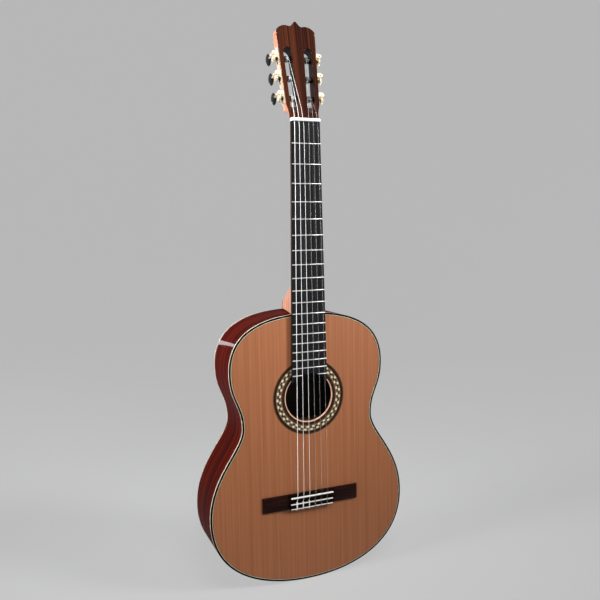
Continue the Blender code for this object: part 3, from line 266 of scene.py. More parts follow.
def blank(name, **sockets):
    """A new material, its node tree and its shader."""
    made = bpy.data.materials.new(name)
    made.use_nodes = True
    shader = made.node_tree.nodes["Principled BSDF"]
    for socket, value in sockets.items():
        shader.inputs[socket.replace("_", " ")].default_value = value
    return made, made.node_tree, shader


def ramp(tree, factor, *stops):
    """A colour that runs through stops along a factor."""
    made = node(tree, "ValToRGB", {"Fac": factor})
    elements = made.color_ramp.elements
    elements[0].position, elements[0].color = stops[0]
    elements[1].position, elements[1].color = stops[-1]
    for position, colour in stops[1:-1]:
        elements.new(position).color = colour
    return made.outputs["Color"]


def noise(tree, place, scale, detail=3.0, shift=0.0, rough=0.55):
    """A noise that is stretched by a scale for each axis."""
    mapped = node(tree, "Mapping", {"Vector": place, "Scale": scale, "Location": (shift, shift, shift)})
    inputs = {"Vector": mapped.outputs["Vector"], "Scale": 1.0, "Detail": detail, "Roughness": rough}
    return node(tree, "TexNoise", inputs).outputs[0]


def blend(tree, kind, factor, first, second):
    """Two colours mixed in one of the usual ways."""
    inputs = {"Fac": factor, "Color1": first, "Color2": second}
    return node(tree, "MixRGB", inputs, blend_type=kind).outputs["Color"]


def surface(tree, shader, height, roughness, bump, spread=0.25):
    """Roughness that varies with a height, and a bump from it."""
    inputs = {"Value": height, "To Min": roughness * (1 - spread), "To Max": roughness * (1 + spread)}
    tree.links.new(node(tree, "MapRange", inputs).outputs["Result"], shader.inputs["Roughness"])
    made = node(tree, "Bump", {"Height": height, "Strength": 1.0, "Distance": bump})
    tree.links.new(made.outputs["Normal"], shader.inputs["Normal"])


def wood(
    name, shades, roughness, streak, band, pore=0.0,
    source="Object", grain=(2,), mirror=False, **sockets
):
    """Wood with fine streaks and broad bands along its grain, and dark pores."""
    made, tree, shader = blank(name, **sockets)
    place = node(tree, "TexCoord").outputs[source]
    if mirror:
        parts = node(tree, "SeparateXYZ", {"Vector": place})
        side = node(tree, "Math", {0: parts.outputs["X"]}, operation="ABSOLUTE").outputs["Value"]
        joined = {"X": side, "Y": parts.outputs["Y"], "Z": parts.outputs["Z"]}
        place = node(tree, "CombineXYZ", joined).outputs["Vector"]

    def stretched(width, length, detail, shift):
        scale = [1 / length if axis in grain else 1 / width for axis in range(3)]
        return noise(tree, place, scale, detail, shift)

    fine = stretched(streak[0], streak[1], 4.0, 3.1)
    wide = stretched(band[0], band[1], 2.0, 7.7)
    half = node(tree, "Math", {0: fine, 1: 0.5, 2: 0.0}, operation="MULTIPLY_ADD").outputs["Value"]
    factor = node(tree, "Math", {0: wide, 1: 0.5, 2: half}, operation="MULTIPLY_ADD").outputs["Value"]
    colour = ramp(tree, factor, *zip(GRAIN_STOPS, [hex_colour(code) for code in shades]))
    if pore:
        specks = stretched(streak[0] * PORE_SHARE, streak[1] * PORE_SHARE, 1.0, 5.3)
        tints = ((1, 1, 1, 1), (1 - pore, 1 - pore, 1 - pore, 1))
        shadow = ramp(tree, specks, *zip(PORE_STOPS, tints))
        colour = blend(tree, "MULTIPLY", 1.0, colour, shadow)
    tree.links.new(colour, shader.inputs["Base Color"])
    surface(tree, shader, fine, roughness, GRAIN_BUMP)
    return made


def plain(name, code, roughness, grain, spread=0.12, bump=0.00002, **sockets):
    """A moulded, polished or plated finish with slight clouding."""
    made, tree, shader = blank(name, **sockets)
    place = node(tree, "TexCoord").outputs["Object"]
    scale = [1 / size for size in grain]
    cloud = noise(tree, place, scale, 4.0)
    low = hex_colour(code, 1 - spread)
    high = hex_colour(code, 1 + spread)
    tree.links.new(ramp(tree, cloud, (0.3, low), (0.7, high)), shader.inputs["Base Color"])
    surface(tree, shader, cloud, roughness, bump)
    return made


CEDAR = wood(
    "cedar", ("8a512e", "975b36", "a46640"), 0.58, (0.0008, 0.14), (0.004, 0.9),
    mirror=True, Specular_IOR_Level=0.5,
)
# Painted highlight: pale cedar for the ring beside the sound hole and its eased edge. The ring is real
# cedar; its paleness stands for light on the edge.
HOLE_RIM_HIGHLIGHT = wood("hole_rim_painted_highlight", ("cf9a7c", "dfae92", "ebc2aa"), 0.40, (0.0008, 0.05), (0.004, 0.2))
SIDE_WOOD = wood(
    "side_rosewood", ("240603", "4d0d06", "691809"), 0.05, (0.0018, 0.20), (0.008, 0.40), 0.3,
    source="UV", grain=(0,), Specular_IOR_Level=0.0, Coat_Weight=0.09, Coat_Roughness=0.03,
)
BACK_WOOD = wood(
    "back_rosewood", ("260704", "560f07", "741b0c"), 0.08, (0.0018, 0.20), (0.012, 0.60), 0.3,
    mirror=True, Specular_IOR_Level=0.0, Coat_Weight=0.25, Coat_Roughness=0.03,
)
# Painted shade: near-black bare rosewood for the back's inner face inside the sound box
BACK_INSIDE_SHADE = wood("bare_rosewood_painted_shade", ("0d0604", "140a07", "1c0f0a"), 0.7, (0.0018, 0.09), (0.012, 0.40))
HEAD_WOOD = wood(
    "head_rosewood", ("0f0403", "2d1108", "5c2d14"), 0.30, (0.0009, 0.80), (0.003, 1.2), 0.3,
    grain=(1, 2), Specular_IOR_Level=0.04,
)
BRIDGE_WOOD = wood(
    "bridge_rosewood", ("0f0605", "1d0d0a", "36160e"), 0.36, (0.0012, 0.03), (0.004, 0.10), 0.5,
    grain=(0,), Specular_IOR_Level=0.07,
)
# Painted shade: near-black rosewood for the bridge's middle block, which is the same wood as its wings
BLOCK_SHADE_WOOD = wood(
    "tie_block_shaded_rosewood", ("050303", "0b0605", "170a08"), 0.36, (0.0012, 0.03), (0.004, 0.10), 0.5,
    grain=(0,), Specular_IOR_Level=0.04,
)
NECK_WOOD = wood(
    "neck_mahogany", ("b3735a", "c98c74", "d8a48c"), 0.50, (0.0014, 0.03), (0.010, 0.25), 0.2,
    Specular_IOR_Level=0.03,
)
# Painted shade: a darker wood for the walls of the head's slots
SLOT_SHADE_WOOD = wood("slot_painted_shade", ("190a06", "28130d", "381e15"), 0.6, (0.0014, 0.03), (0.010, 0.25))
EBONY = wood(
    "ebony", ("0e0e10", "17171a", "242427"), 0.42, (0.0010, 0.15), (0.006, 0.50), 0.4,
    Specular_IOR_Level=0.08,
)
# Painted shade: spruce darkened for the parts inside the sound box
SHADED_SPRUCE = wood("spruce", ("4a3420", "574027", "654b30"), 0.6, (0.0012, 0.2), (0.01, 0.5))
CREAM = wood(
    "cream_strip", ("e3cdb0", "f2e2cc", "f8eddc"), 0.3, (0.0006, 0.02), (0.004, 0.1),
    source="Generated",
)
BLACK_STRIP = plain("black_strip", "0a0808", 0.28, (0.002, 0.002, 0.004), Specular_IOR_Level=0.05)
LIGHT_LINE = plain("light_line", "ddceac", 0.4, (0.001, 0.001, 0.006))
DARK_LINE = plain("dark_line", "2a1a12", 0.4, (0.001, 0.001, 0.006))
BONE = plain("bone", "f6f3ec", 0.35, (0.003, 0.001, 0.001), 0.06)
GOLD = plain("gold_plate", "f7ead0", 0.26, (0.004, 0.001, 0.001), 0.06, Metallic=0.5)
STEEL = plain("screw_steel", "8f887a", 0.30, (0.001, 0.001, 0.001), 0.10, Metallic=1.0)
NICKEL = plain("fret_wire", "b4b2ae", 0.36, (0.0004, 0.004, 0.004), 0.06, Metallic=0.9)
BLACK = plain("black_plastic", "0e0e0f", 0.10, (0.003, 0.003, 0.003), 0.2)
WOUND = plain(
    "silvered_winding", "fcfbf9", 0.25, (0.01, 0.01, 0.00022), 0.03, 0.00005,
    Specular_IOR_Level=0.9,
)
NYLON = plain("nylon", "dddcd8", 0.24, (0.01, 0.01, 0.03), 0.04, Transmission_Weight=0.8, IOR=1.25)
TILE_GRAIN = (0.0008, 0.0008, 0.0008)
RING_GRAIN = (0.001, 0.001, 0.001)
TILES = {
    "cream": plain("tile_cream", "dccdad", 0.4, TILE_GRAIN, 0.1),
    "gold": plain("tile_gold", "917b5d", 0.4, TILE_GRAIN, 0.3),
    "olive": plain("tile_olive", "2c2219", 0.4, TILE_GRAIN, 0.3, Specular_IOR_Level=0.1),
    "dark": plain("tile_dark", "0e0906", 0.35, TILE_GRAIN, 0.3, Specular_IOR_Level=0.1),
    "brown": plain("ring_brown", "5c4130", 0.4, RING_GRAIN, 0.15, Specular_IOR_Level=0.1),
}


# Mesh helpers


def made_object(name, bm, materials, smooth=35):
    """A named object from a mesh, with its faces pointing out."""
    bmesh.ops.recalc_face_normals(bm, faces=bm.faces)
    mesh = bpy.data.meshes.new(name)
    bm.to_mesh(mesh)
    bm.free()
    mesh.shade_smooth()
    mesh.set_sharp_from_angle(angle=math.radians(smooth))
    for material in materials:
        mesh.materials.append(material)
    made = bpy.data.objects.new(name, mesh)
    bpy.context.scene.collection.objects.link(made)
    return made


def dress(obj, body, slot, *nodes):
    """Lets a piece ride on a body and stand for CAD nodes. Its slot is not used."""
    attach(obj, body)
    if nodes:
        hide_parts(*nodes)
    return obj


def skin(bm, near, far):
    """Quads between two closed loops of vertices."""
    faces = []
    for i in range(len(near)):
        j = (i + 1) % len(near)
        faces.append(bm.faces.new((near[i], near[j], far[j], far[i])))
    return faces


def loft(bm, rings, closed=False):
    """A skin through rings of equal length, with flat ends unless it closes on itself."""
    loops = [[bm.verts.new(point) for point in ring] for ring in rings]
    for near, far in zip(loops, loops[1:]):
        skin(bm, near, far)
    if closed:
        skin(bm, loops[-1], loops[0])
    else:
        bm.faces.new(loops[0])
        bm.faces.new(loops[-1])
    return loops


def fill(bm, *loops):
    """A flat face between closed loops of vertices."""
    edges = []
    for loop in loops:
        for i in range(len(loop)):
            edges.append(bm.edges.get((loop[i], loop[(i + 1) % len(loop)])))
    bmesh.ops.triangle_fill(bm, edges=edges, use_beauty=True)


def bevelled(obj, width, angle=40, segments=2):
    """Rounds the sharp edges of a piece."""
    step = obj.modifiers.new("rounded_edges", "BEVEL")
    step.width = width
    step.segments = segments
    step.limit_method = "ANGLE"
    step.angle_limit = math.radians(angle)
    step.harden_normals = True
    return obj


def bezier(start, start_handle, end_handle, end, steps):
    """Points along a cubic curve, without its last one."""
    points = []
    for i in range(steps):
        t = i / steps
        weights = ((1 - t) ** 3, 3 * (1 - t) ** 2 * t, 3 * (1 - t) * t ** 2, t ** 3)
        corners = (start, start_handle, end_handle, end)
        points.append(tuple(sum(w * c[axis] for w, c in zip(weights, corners)) for axis in (0, 1)))
    return points


def circle(radius, steps=HOLE_STEPS):
    """Points round the sound hole's centre."""
    angles = [2 * math.pi * i / steps for i in range(steps)]
    return [(radius * math.cos(a), HOLE_Z + radius * math.sin(a)) for a in angles]


def half_circle(radius):
    """Points round half a circle."""
    angles = [math.pi * i / HALF_TURN_STEPS for i in range(HALF_TURN_STEPS + 1)]
    return [(radius * math.cos(a), radius * math.sin(a)) for a in angles]


def mirrored(points):
    """The same points on the other side of the centre line."""
    return [(-x, z) for x, z in points]


def whole(half):
    """A closed outline from a half that starts and ends on the centre line."""
    return half + mirrored(half[1:-1])[::-1]


def refined(name, material, body, slot, levels=0, bevel=0.0, angle=40):
    """A smoother copy of a CAD node, which stands for it."""
    bm = bmesh.new()
    bm.from_mesh(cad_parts[name].data)
    bmesh.ops.remove_doubles(bm, verts=bm.verts, dist=WELD_DISTANCE)
    if levels:
        limits = {"angle_face_threshold": JOIN_ANGLE, "angle_shape_threshold": math.pi}
        bmesh.ops.join_triangles(bm, faces=bm.faces, **limits)
    else:
        bmesh.ops.dissolve_limit(bm, angle_limit=FLAT_ANGLE, verts=bm.verts, edges=bm.edges)
    crease = bm.edges.layers.float.new("crease_edge")
    for edge in bm.edges:
        if len(edge.link_faces) == 2 and edge.calc_face_angle() > math.radians(angle):
            edge[crease] = 1.0
    made = made_object(name + "_shape", bm, [material], angle)
    custom = made.data.attributes.get("custom_normal")
    if custom:
        made.data.attributes.remove(custom)
    if levels:
        step = made.modifiers.new("smooth_form", "SUBSURF")
        step.levels = levels
        step.render_levels = levels
    if bevel:
        bevelled(made, bevel, angle)
    return dress(made, body, slot, name)


# Sound box


def half_outline():
    """The treble half of the body's outline in x and z, from the neck to the tail."""
    tail = BODY_TOP - BODY_LENGTH
    drop = BODY_TOP - UPPER_BOUT[1]
    points = bezier(
        (0, BODY_TOP),
        (SHOULDER_FULLNESS[0] * UPPER_BOUT[0], BODY_TOP),
        (UPPER_BOUT[0], UPPER_BOUT[1] + SHOULDER_FULLNESS[1] * drop),
        UPPER_BOUT,
        OUTLINE_STEPS,
    )
    for start, end, fullness in (
        (UPPER_BOUT, WAIST, UPPER_SIDE_FULLNESS),
        (WAIST, LOWER_BOUT, LOWER_SIDE_FULLNESS),
    ):
        drop = start[1] - end[1]
        start_handle = (start[0], start[1] - fullness[0] * drop)
        end_handle = (end[0], end[1] + fullness[1] * drop)
        points += bezier(start, start_handle, end_handle, end, OUTLINE_STEPS)
    points += bezier(
        LOWER_BOUT,
        (LOWER_BOUT[0], LOWER_BOUT[1] - TAIL_FULLNESS[0] * (LOWER_BOUT[1] - tail)),
        (TAIL_FULLNESS[1] * LOWER_BOUT[0], tail),
        (0, tail),
        OUTLINE_STEPS,
    )
    return points + [(0, tail)]


def inset(points, distance):
    """The half outline moved inward. Its two ends keep their x."""
    moved = []
    last = len(points) - 1
    for i, (x, z) in enumerate(points):
        along = (Vector(points[min(i + 1, last)]) - Vector(points[max(i - 1, 0)])).normalized()
        inward = 0 if i in (0, last) else along.y
        moved.append((x + inward * distance, z - along.x * distance))
    return moved


def back_y(z):
    """The outer face of the back."""
    return DEPTH_AT_NECK + (BODY_TOP - z) / BODY_LENGTH * DEPTH_GROWTH


def front(depth):
    """A level behind the soundboard's face."""
    return lambda z: depth


def rear(depth):
    """A level in front of the back's outer face."""
    return lambda z: back_y(z) - depth


def strip(name, material, slot, outline, section, *nodes):
    """A strip round the body from a section of insets and levels."""
    courses = [whole(inset(outline, distance)) for distance, _ in section]
    rings = []
    for i in range(len(courses[0])):
        ring = []
        for course, (_, level) in zip(courses, section):
            x, z = course[i]
            ring.append((x, level(z), z))
        rings.append(ring)
    bm = bmesh.new()
    loft(bm, rings, closed=True)
    return dress(made_object(name, bm, [material]), "instrument", slot, *nodes)


def add_edge_strips(outline):
    """Black edge strips with a cream strip on the side and fine lines on the faces."""
    edge = BINDING_ROUND
    for name, level, high, low, light, dark in (
        ("top", front, BLACK_LOW, CREAM_LOW, LIGHT_LINE_IN, DARK_LINE_IN),
        ("back", rear, BACK_BLACK_LOW, BACK_CREAM_LOW, BACK_LIGHT_IN, None),
    ):
        section = [(0, level(high)), (0, level(edge))]
        section += [(edge * BINDING_CORNER, level(edge * BINDING_CORNER)), (edge, level(0))]
        section += [(BINDING_WIDTH, level(0)), (BINDING_WIDTH, level(high))]
        strip(name + "_binding_strip", BLACK_STRIP, "binding", outline, section, name + "_binding")
        cream = ((0, high), (0, low), (BINDING_WIDTH, low), (BINDING_WIDTH, high))
        section = [(distance, level(depth)) for distance, depth in cream]
        strip(name + "_cream_strip", CREAM, "binding", outline, section)
        lines = [(name + "_light_line", LIGHT_LINE, BINDING_WIDTH, light)]
        if dark:
            lines.append((name + "_dark_line", DARK_LINE, light, dark))
        for title, material, outer, inner in lines:
            corners = ((outer, 0), (inner, 0), (inner, LINE_DEPTH), (outer, LINE_DEPTH))
            section = [(distance, level(depth)) for distance, depth in corners]
            strip(title, material, "binding", outline, section)


def add_side(name, outline, turn):
    """One bent side, with its length and depth as texture places."""
    treble = [(HEEL_WEB, outline[0][1])] + [p for p in outline if p[0] > HEEL_WEB] + [outline[-1]]
    inner = inset(treble, SIDE_THICKNESS)
    bm = bmesh.new()
    rings = []
    lengths = [0.0]
    for (outer_x, outer_z), (inner_x, inner_z) in zip(treble, inner):
        low = back_y(outer_z) - BACK_CREAM_LOW
        rings.append([
            (turn * outer_x, CREAM_LOW, outer_z),
            (turn * inner_x, CREAM_LOW, inner_z),
            (turn * inner_x, low, inner_z),
            (turn * outer_x, low, outer_z),
        ])
    for near, far in zip(treble, treble[1:]):
        lengths.append(lengths[-1] + (Vector(far) - Vector(near)).length)
    loops = loft(bm, rings)
    travel = {}
    for length, loop in zip(lengths, loops):
        for vertex in loop:
            travel[vertex] = length
    layer = bm.loops.layers.uv.new("UVMap")
    for face in bm.faces:
        for corner in face.loops:
            corner[layer].uv = (travel[corner.vert], corner.vert.co.y)
    dress(made_object(name + "_wood", bm, [SIDE_WOOD]), "instrument", "rosewood", name)


def add_soundboard(outline):
    """The cedar top with its sound hole, the groove for the rosette and a painted highlight round the
    hole.
    """
    edge = whole(inset(outline, DARK_LINE_IN))
    groove = (
        (RING_EDGES[0][0], 0), (RING_EDGES[0][0], ROSETTE_THICKNESS),
        (INNER_RING_EDGES[-1][0], ROSETTE_THICKNESS),
    )
    lip = (
        (INNER_RING_EDGES[-1][0], 0), (HOLE_RADIUS + HOLE_EASE, 0), (HOLE_RADIUS, HOLE_EASE),
        (HOLE_RADIUS, SOUNDBOARD_THICKNESS),
    )
    bm = bmesh.new()
    rim = [[bm.verts.new((x, y, z)) for x, z in edge] for y in (0, SOUNDBOARD_THICKNESS)]
    skin(bm, rim[0], rim[1])
    loops = [[bm.verts.new((x, y, z)) for x, z in circle(radius)] for radius, y in groove + lip]
    # The ring beside the hole and its eased edge take the painted highlight
    for i, (near, far) in enumerate(zip(loops, loops[1:])):
        for face in skin(bm, near, far):
            face.material_index = 1 if i >= len(groove) else 0
    fill(bm, rim[0], loops[0])
    fill(bm, rim[1], loops[-1])
    dress(made_object("soundboard_wood", bm, [CEDAR, HOLE_RIM_HIGHLIGHT]), "instrument", "cedar", "soundboard")


def add_back(outline):
    """The back in two matched halves with a light line down the middle."""
    edge = whole(inset(outline, BACK_LIGHT_IN))
    bm = bmesh.new()
    rim = []
    for depth in (BACK_THICKNESS, 0):
        rim.append([bm.verts.new((x, back_y(z) - depth, z)) for x, z in edge])
    skin(bm, rim[0], rim[1])
    # The inner face takes the near-black wood as painted shade
    for index, loop in enumerate(rim):
        bm.faces.new(loop).material_index = 1 - index
    dress(made_object("back_wood", bm, [BACK_WOOD, BACK_INSIDE_SHADE]), "instrument", "rosewood", "back_plate")
    reach = BACK_LINE_REACH
    ends = (edge[0][1], edge[len(edge) // 2][1])
    rings = []
    for z in ends:
        top = back_y(z) + BACK_LINE_PROUD
        low = top - LINE_DEPTH
        rings.append([(-reach, low, z), (reach, low, z), (reach, top, z), (-reach, top, z)])
    bm = bmesh.new()
    loft(bm, rings)
    dress(made_object("back_centre_line", bm, [LIGHT_LINE]), "instrument", "binding")


# Rosette


def close_ring(bm, loops, radii, steps=HOLE_STEPS):
    """The walls and the underside of a ring whose face lies between the first and the last loop."""
    low = []
    for radius in radii:
        low.append([bm.verts.new((x, ROSETTE_THICKNESS, z)) for x, z in circle(radius, steps)])
    skin(bm, loops[0], low[0])
    skin(bm, loops[-1], low[1])
    skin(bm, low[0], low[1])


def add_rings(name, edges):
    """Flat rings side by side, each of one colour."""
    kinds = sorted({kind for _, kind in edges if kind})
    bm = bmesh.new()
    loops = [[bm.verts.new((x, 0, z)) for x, z in circle(radius)] for radius, _ in edges]
    for near, far, (_, kind) in zip(loops, loops[1:], edges):
        for face in skin(bm, near, far):
            face.material_index = kinds.index(kind)
    close_ring(bm, loops, (edges[0][0], edges[-1][0]))
    return made_object(name, bm, [TILES[kind] for kind in kinds])


def tile_kind(column, row):
    """A tile's colour: dark waves hooked at both ends, light in their bays, on a mixed ground."""
    turn = (column + 0.5) / TILES_PER_WAVE
    along = (turn - WAVE_START + 0.5) % 1 - 0.5
    across = 2 * (row + 0.5) / TILE_ROWS - 1
    if along < 0:
        along, across = -along, -across
    bend = math.pi * along / HOOK_REACH
    hook = HOOK_HEIGHT * math.sin(bend)
    if along < HOOK_REACH and abs(across - hook) < HOOK_WIDTH * math.hypot(1, math.cos(bend)):
        return "dark"
    if along > BAY_START and -BAY_DEPTH < across < BAY_TOP:
        return "cream"
    return "gold" if (column + row) % 2 else "olive"


def add_tiles():
    """The mosaic band, made of small square tiles."""
    kinds = ("cream", "dark", "gold", "olive")
    outer = RING_EDGES[-1][0]
    inner = INNER_RING_EDGES[0][0]
    columns = WAVE_COUNT * TILES_PER_WAVE
    radii = [outer + (inner - outer) * row / TILE_ROWS for row in range(TILE_ROWS + 1)]
    bm = bmesh.new()
    loops = [[bm.verts.new((x, 0, z)) for x, z in circle(radius, columns)] for radius in radii]
    for row in range(TILE_ROWS):
        for column, face in enumerate(skin(bm, loops[row], loops[row + 1])):
            face.material_index = kinds.index(tile_kind(column, row))
    close_ring(bm, loops, (outer, inner), columns)
    return made_object("rosette_mosaic", bm, [TILES[kind] for kind in kinds])


# Fingerboard and nut


def board_half_width(z):
    """Half the fingerboard's width at one height."""
    return (NUT_WIDTH + (BODY_FRET_WIDTH - NUT_WIDTH) * z / BODY_TOP) / 2


def end_half_width(z):
    """Where the fingerboard's hollow end stands at one height."""
    rise = z - HOLE_Z
    return math.sqrt(max(0, BOARD_END_RADIUS ** 2 - rise ** 2))


def add_fingerboard():
    """The ebony board, whose lower end follows the sound hole."""
    reach = board_half_width(BOARD_END)
    corner = end_half_width(BOARD_END)
    limit = math.asin(corner / BOARD_END_RADIUS)
    arc = []
    for i in range(HALF_TURN_STEPS * 2 + 1):
        angle = limit * (1 - i / HALF_TURN_STEPS)
        arc.append((BOARD_END_RADIUS * math.sin(angle), HOLE_Z + BOARD_END_RADIUS * math.cos(angle)))
    top = NUT_WIDTH / 2
    outline = [(-top, -CLEARANCE), (top, -CLEARANCE), (reach, BOARD_END)] + arc + [(-reach, BOARD_END)]
    bm = bmesh.new()
    loft(bm, [[(x, -height, z) for x, z in outline] for height in (CLEARANCE, BOARD_TOP)])
    board = bevelled(made_object("fingerboard_wood", bm, [EBONY]), WOOD_EASE)
    dress(board, "instrument", "ebony", "fingerboard")


def add_frets():
    """Round-topped fret wires. The last one is cut by the sound hole."""
    bm = bmesh.new()
    for number in range(1, FRET_COUNT + 1):
        z = -SCALE_LENGTH * (1 - 2 ** (-number / 12))
        reach = board_half_width(z) - FRET_SETBACK
        gap = end_half_width(z)
        spans = ((-reach, -gap), (gap, reach)) if gap else ((-reach, reach),)
        low = -BOARD_TOP + FRET_SEAT
        for start, end in spans:
            stations = ((start, FRET_END_RISE), (start + FRET_SLOPE, 1))
            stations += ((end - FRET_SLOPE, 1), (end, FRET_END_RISE))
            rings = []
            for x, rise in stations:
                ring = [(x, low, z + FRET_HALF_WIDTH), (x, low, z - FRET_HALF_WIDTH)]
                for out, up in half_circle(FRET_HALF_WIDTH)[::-2]:
                    ring.append((x, -BOARD_TOP - up * rise, z + out))
                rings.append(ring)
            loft(bm, rings)
    dress(made_object("fret_wires", bm, [NICKEL], 50), "instrument", "silvered_winding")


def string_x(number, pitch):
    """A string's distance from the centre line."""
    return ((STRING_COUNT + 1) / 2 - number) * pitch


def add_nut():
    """The bone nut, with a slot in which each string lies."""
    height = NUT_HEIGHT
    ease = NUT_EASE
    shoulder = height - NUT_SLOT_SHOULDER
    stations = [(-NUT_WIDTH / 2, height - ease), (-NUT_WIDTH / 2 + ease, height)]
    for number in range(STRING_COUNT, 0, -1):
        x = string_x(number, STRING_PITCH_AT_NUT)
        reach = STRING_DIAMETERS[number - 1] / 2 + NUT_SLOT_GAP
        stations += [(x - reach - NUT_SLOT_SLOPE, height), (x - reach, shoulder), (x, NUT_SLOT_FLOOR)]
        stations += [(x + reach, shoulder), (x + reach + NUT_SLOT_SLOPE, height)]
    stations += [(NUT_WIDTH / 2 - ease, height), (NUT_WIDTH / 2, height - ease)]
    rings = []
    for x, top in stations:
        profile = ((-CLEARANCE, 0), (ease - top, 0), (-top, ease), (-top, NUT_THICKNESS - ease))
        profile += ((ease - top, NUT_THICKNESS), (-CLEARANCE, NUT_THICKNESS))
        rings.append([(x, y, z) for y, z in profile])
    bm = bmesh.new()
    loft(bm, rings)
    dress(made_object("nut_bone", bm, [BONE], 50), "instrument", "bone", "nut")


# Head


def head_point(x, up, deep):
    """A place by its distance across the head, up its face and behind its face."""
    return HEAD_ORIGIN + Vector((x, 0, 0)) + HEAD_UP * up + HEAD_BACK * deep


def side_flat(along, out):
    """A place beside the treble side of the head, as a distance across and up its face."""
    across = HEAD_LOW + along * math.sin(HEAD_TAPER) + out * math.cos(HEAD_TAPER)
    return across, FLARE_END + along * math.cos(HEAD_TAPER) - out * math.sin(HEAD_TAPER)


def side_point(side, along, out, deep):
    """A place by its distance along one side of the head, out from it and behind the face."""
    across, up = side_flat(along, out)
    return head_point(side * across, up, deep)


def head_outline():
    """The head's outline: flared foot, straight sides, nicked ears and a crest with a small peak."""
    flare = FLARE_END - FLARE_START
    half = [(0, 0), (HEAD_FOOT, 0)]
    half += bezier(
        (HEAD_FOOT, FLARE_START),
        (HEAD_FOOT, FLARE_START + flare * FOOT_HANDLE),
        (HEAD_LOW - flare * FLARE_HANDLE * math.sin(HEAD_TAPER), FLARE_END - flare * FLARE_HANDLE),
        (HEAD_LOW, FLARE_END),
        HEAD_STEPS,
    )
    nick = FLARE_END + HEAD_STRAIGHT
    corner = nick + EAR_HEIGHT
    half += [(HEAD_LOW, FLARE_END), (HEAD_TOP, nick)]
    half += [(HEAD_TOP - NICK_DEPTH, nick + NICK_MIDDLE), (HEAD_TOP, nick + NICK_HEIGHT)]
    shoulder = (SHOULDER[0], corner + SHOULDER[1])
    dip = (DIP[0], corner + DIP[1])
    peak = (0, corner + PEAK_HEIGHT)
    reach = HEAD_TOP - shoulder[0]
    half += bezier(
        (HEAD_TOP, corner),
        (HEAD_TOP - reach * EAR_HANDLE[0], corner + SHOULDER[1] * EAR_HANDLE[1]),
        (shoulder[0] + reach * SHOULDER_HANDLE, shoulder[1]),
        shoulder,
        HEAD_STEPS,
    )
    bend = (shoulder[0] - dip[0]) * DIP_HANDLE
    half += bezier(shoulder, (shoulder[0] - bend, shoulder[1]), (dip[0] + bend, dip[1]), dip, HEAD_STEPS)
    flank = (dip[0] * PEAK_INNER, peak[1] - PEAK_FLANK)
    half += bezier(dip, (dip[0] * DIP_INNER, dip[1]), flank, peak, HEAD_STEPS)
    return whole(half + [peak])


def slot_outline(side):
    """One slot: parallel to the head's side, with round ends."""
    radius = SLOT_WIDTH / 2
    middle = -SLOT_WALL - radius
    points = []
    for centre, turn in ((SLOT_HIGH - radius, 1), (SLOT_LOW + radius, -1)):
        for out, rise in half_circle(radius):
            points.append(side_flat(centre + turn * rise, middle + turn * out))
    return [(side * across, up) for across, up in points]


def paint_slot_shade(head):
    """Paints shade on the walls of the head's slots and roller holes with a darker wood."""
    head.data.materials.append(SLOT_SHADE_WOOD)
    for face in head.data.polygons:
        offset = face.center - HEAD_ORIGIN
        along = offset.dot(HEAD_UP) - FLARE_END
        across = HEAD_LOW + along * math.tan(HEAD_TAPER) - SLOT_WALL
        inside = abs(offset.x) < across + SLOT_SHADE_MARGIN
        inside = inside and SLOT_LOW < along < SLOT_HIGH + SLOT_SHADE_END_MARGIN
        inside = inside and (along > RAMP_END or offset.dot(HEAD_BACK) < RAMP_FLOOR)
        if inside and abs(face.normal.dot(HEAD_BACK)) < FACE_ON:
            face.material_index = 1


def add_headplate():
    """The plate on the head's face."""
    bm = bmesh.new()
    faces = ([], [])
    for outline in (head_outline(), slot_outline(1), slot_outline(-1)):
        loops = []
        for deep, face in zip((0, HEADPLATE_THICKNESS), faces):
            loops.append([bm.verts.new(head_point(across, up, deep)) for across, up in outline])
            face.append(loops[-1])
        skin(bm, loops[0], loops[1])
    for face in faces:
        fill(bm, *face)
    made = bevelled(made_object("headplate_wood", bm, [HEAD_WOOD]), THIN_EASE)
    dress(made, "instrument", "headplate_rosewood", "headplate")


# Bridge


def add_bridge():
    """The bridge, whose middle block is painted darker than its wings as shade, and its bone pieces."""
    bridge = refined("bridge", BRIDGE_WOOD, "instrument", "dark_rosewood", bevel=WOOD_EASE)
    # The middle block takes the darker wood as painted shade
    bridge.data.materials.append(BLOCK_SHADE_WOOD)
    for face in bridge.data.polygons:
        reach = max(abs(bridge.data.vertices[i].co.x) for i in face.vertices)
        if reach < BLOCK_REACH:
            face.material_index = 1
    refined("saddle", BONE, "instrument", "bone", bevel=FINE_EASE)
    refined("front_tie_strip", BONE, "instrument", "bone", bevel=THIN_EASE)
    refined("rear_tie_strip", BONE, "instrument", "bone", bevel=THIN_EASE)


# Tuning machines


def string_side(number):
    """Which side of the head a string winds on, and how far up: 0 is nearest the nut."""
    if number <= SIDE_COUNT:
        return 1, number - 1
    return -1, STRING_COUNT - number


def add_screw(bm, place, radius, height):
    """A slotted screw head. Its axis is the placing's own Z."""
    angles = [math.pi * i / SCREW_STEPS for i in range(2 * SCREW_STEPS)]
    base = [(radius * math.cos(a), radius * math.sin(a)) for a in angles]
    loft(bm, [[place @ Vector((x, y, z)) for x, y in base] for z in (0, height * SCREW_BASE)])
    slot = radius * SCREW_SLOT
    for turn in (1, -1):
        half = []
        for angle in angles[:SCREW_STEPS + 1]:
            half.append((radius * math.cos(angle), max(slot, radius * math.sin(angle))))
        rings = []
        for size, rise in SCREW_RINGS:
            ring = [(x * size, max(slot, y * size)) for x, y in half]
            rings.append([place @ Vector((turn * x, turn * y, height * rise)) for x, y in ring])
        loft(bm, rings)


def placing(side, along, out, deep, spin=0.0):
    """A placing on one side of the head whose own Z points out from it."""
    origin = side_point(side, along, out, deep)
    outward = (side_point(side, along, out + 1, deep) - origin).normalized()
    upward = (side_point(side, along + 1, out, deep) - origin).normalized()
    rows = Matrix((upward, outward.cross(upward), outward))
    return Matrix.Translation(origin) @ rows.transposed().to_4x4() @ Matrix.Rotation(spin, 4, "Z")


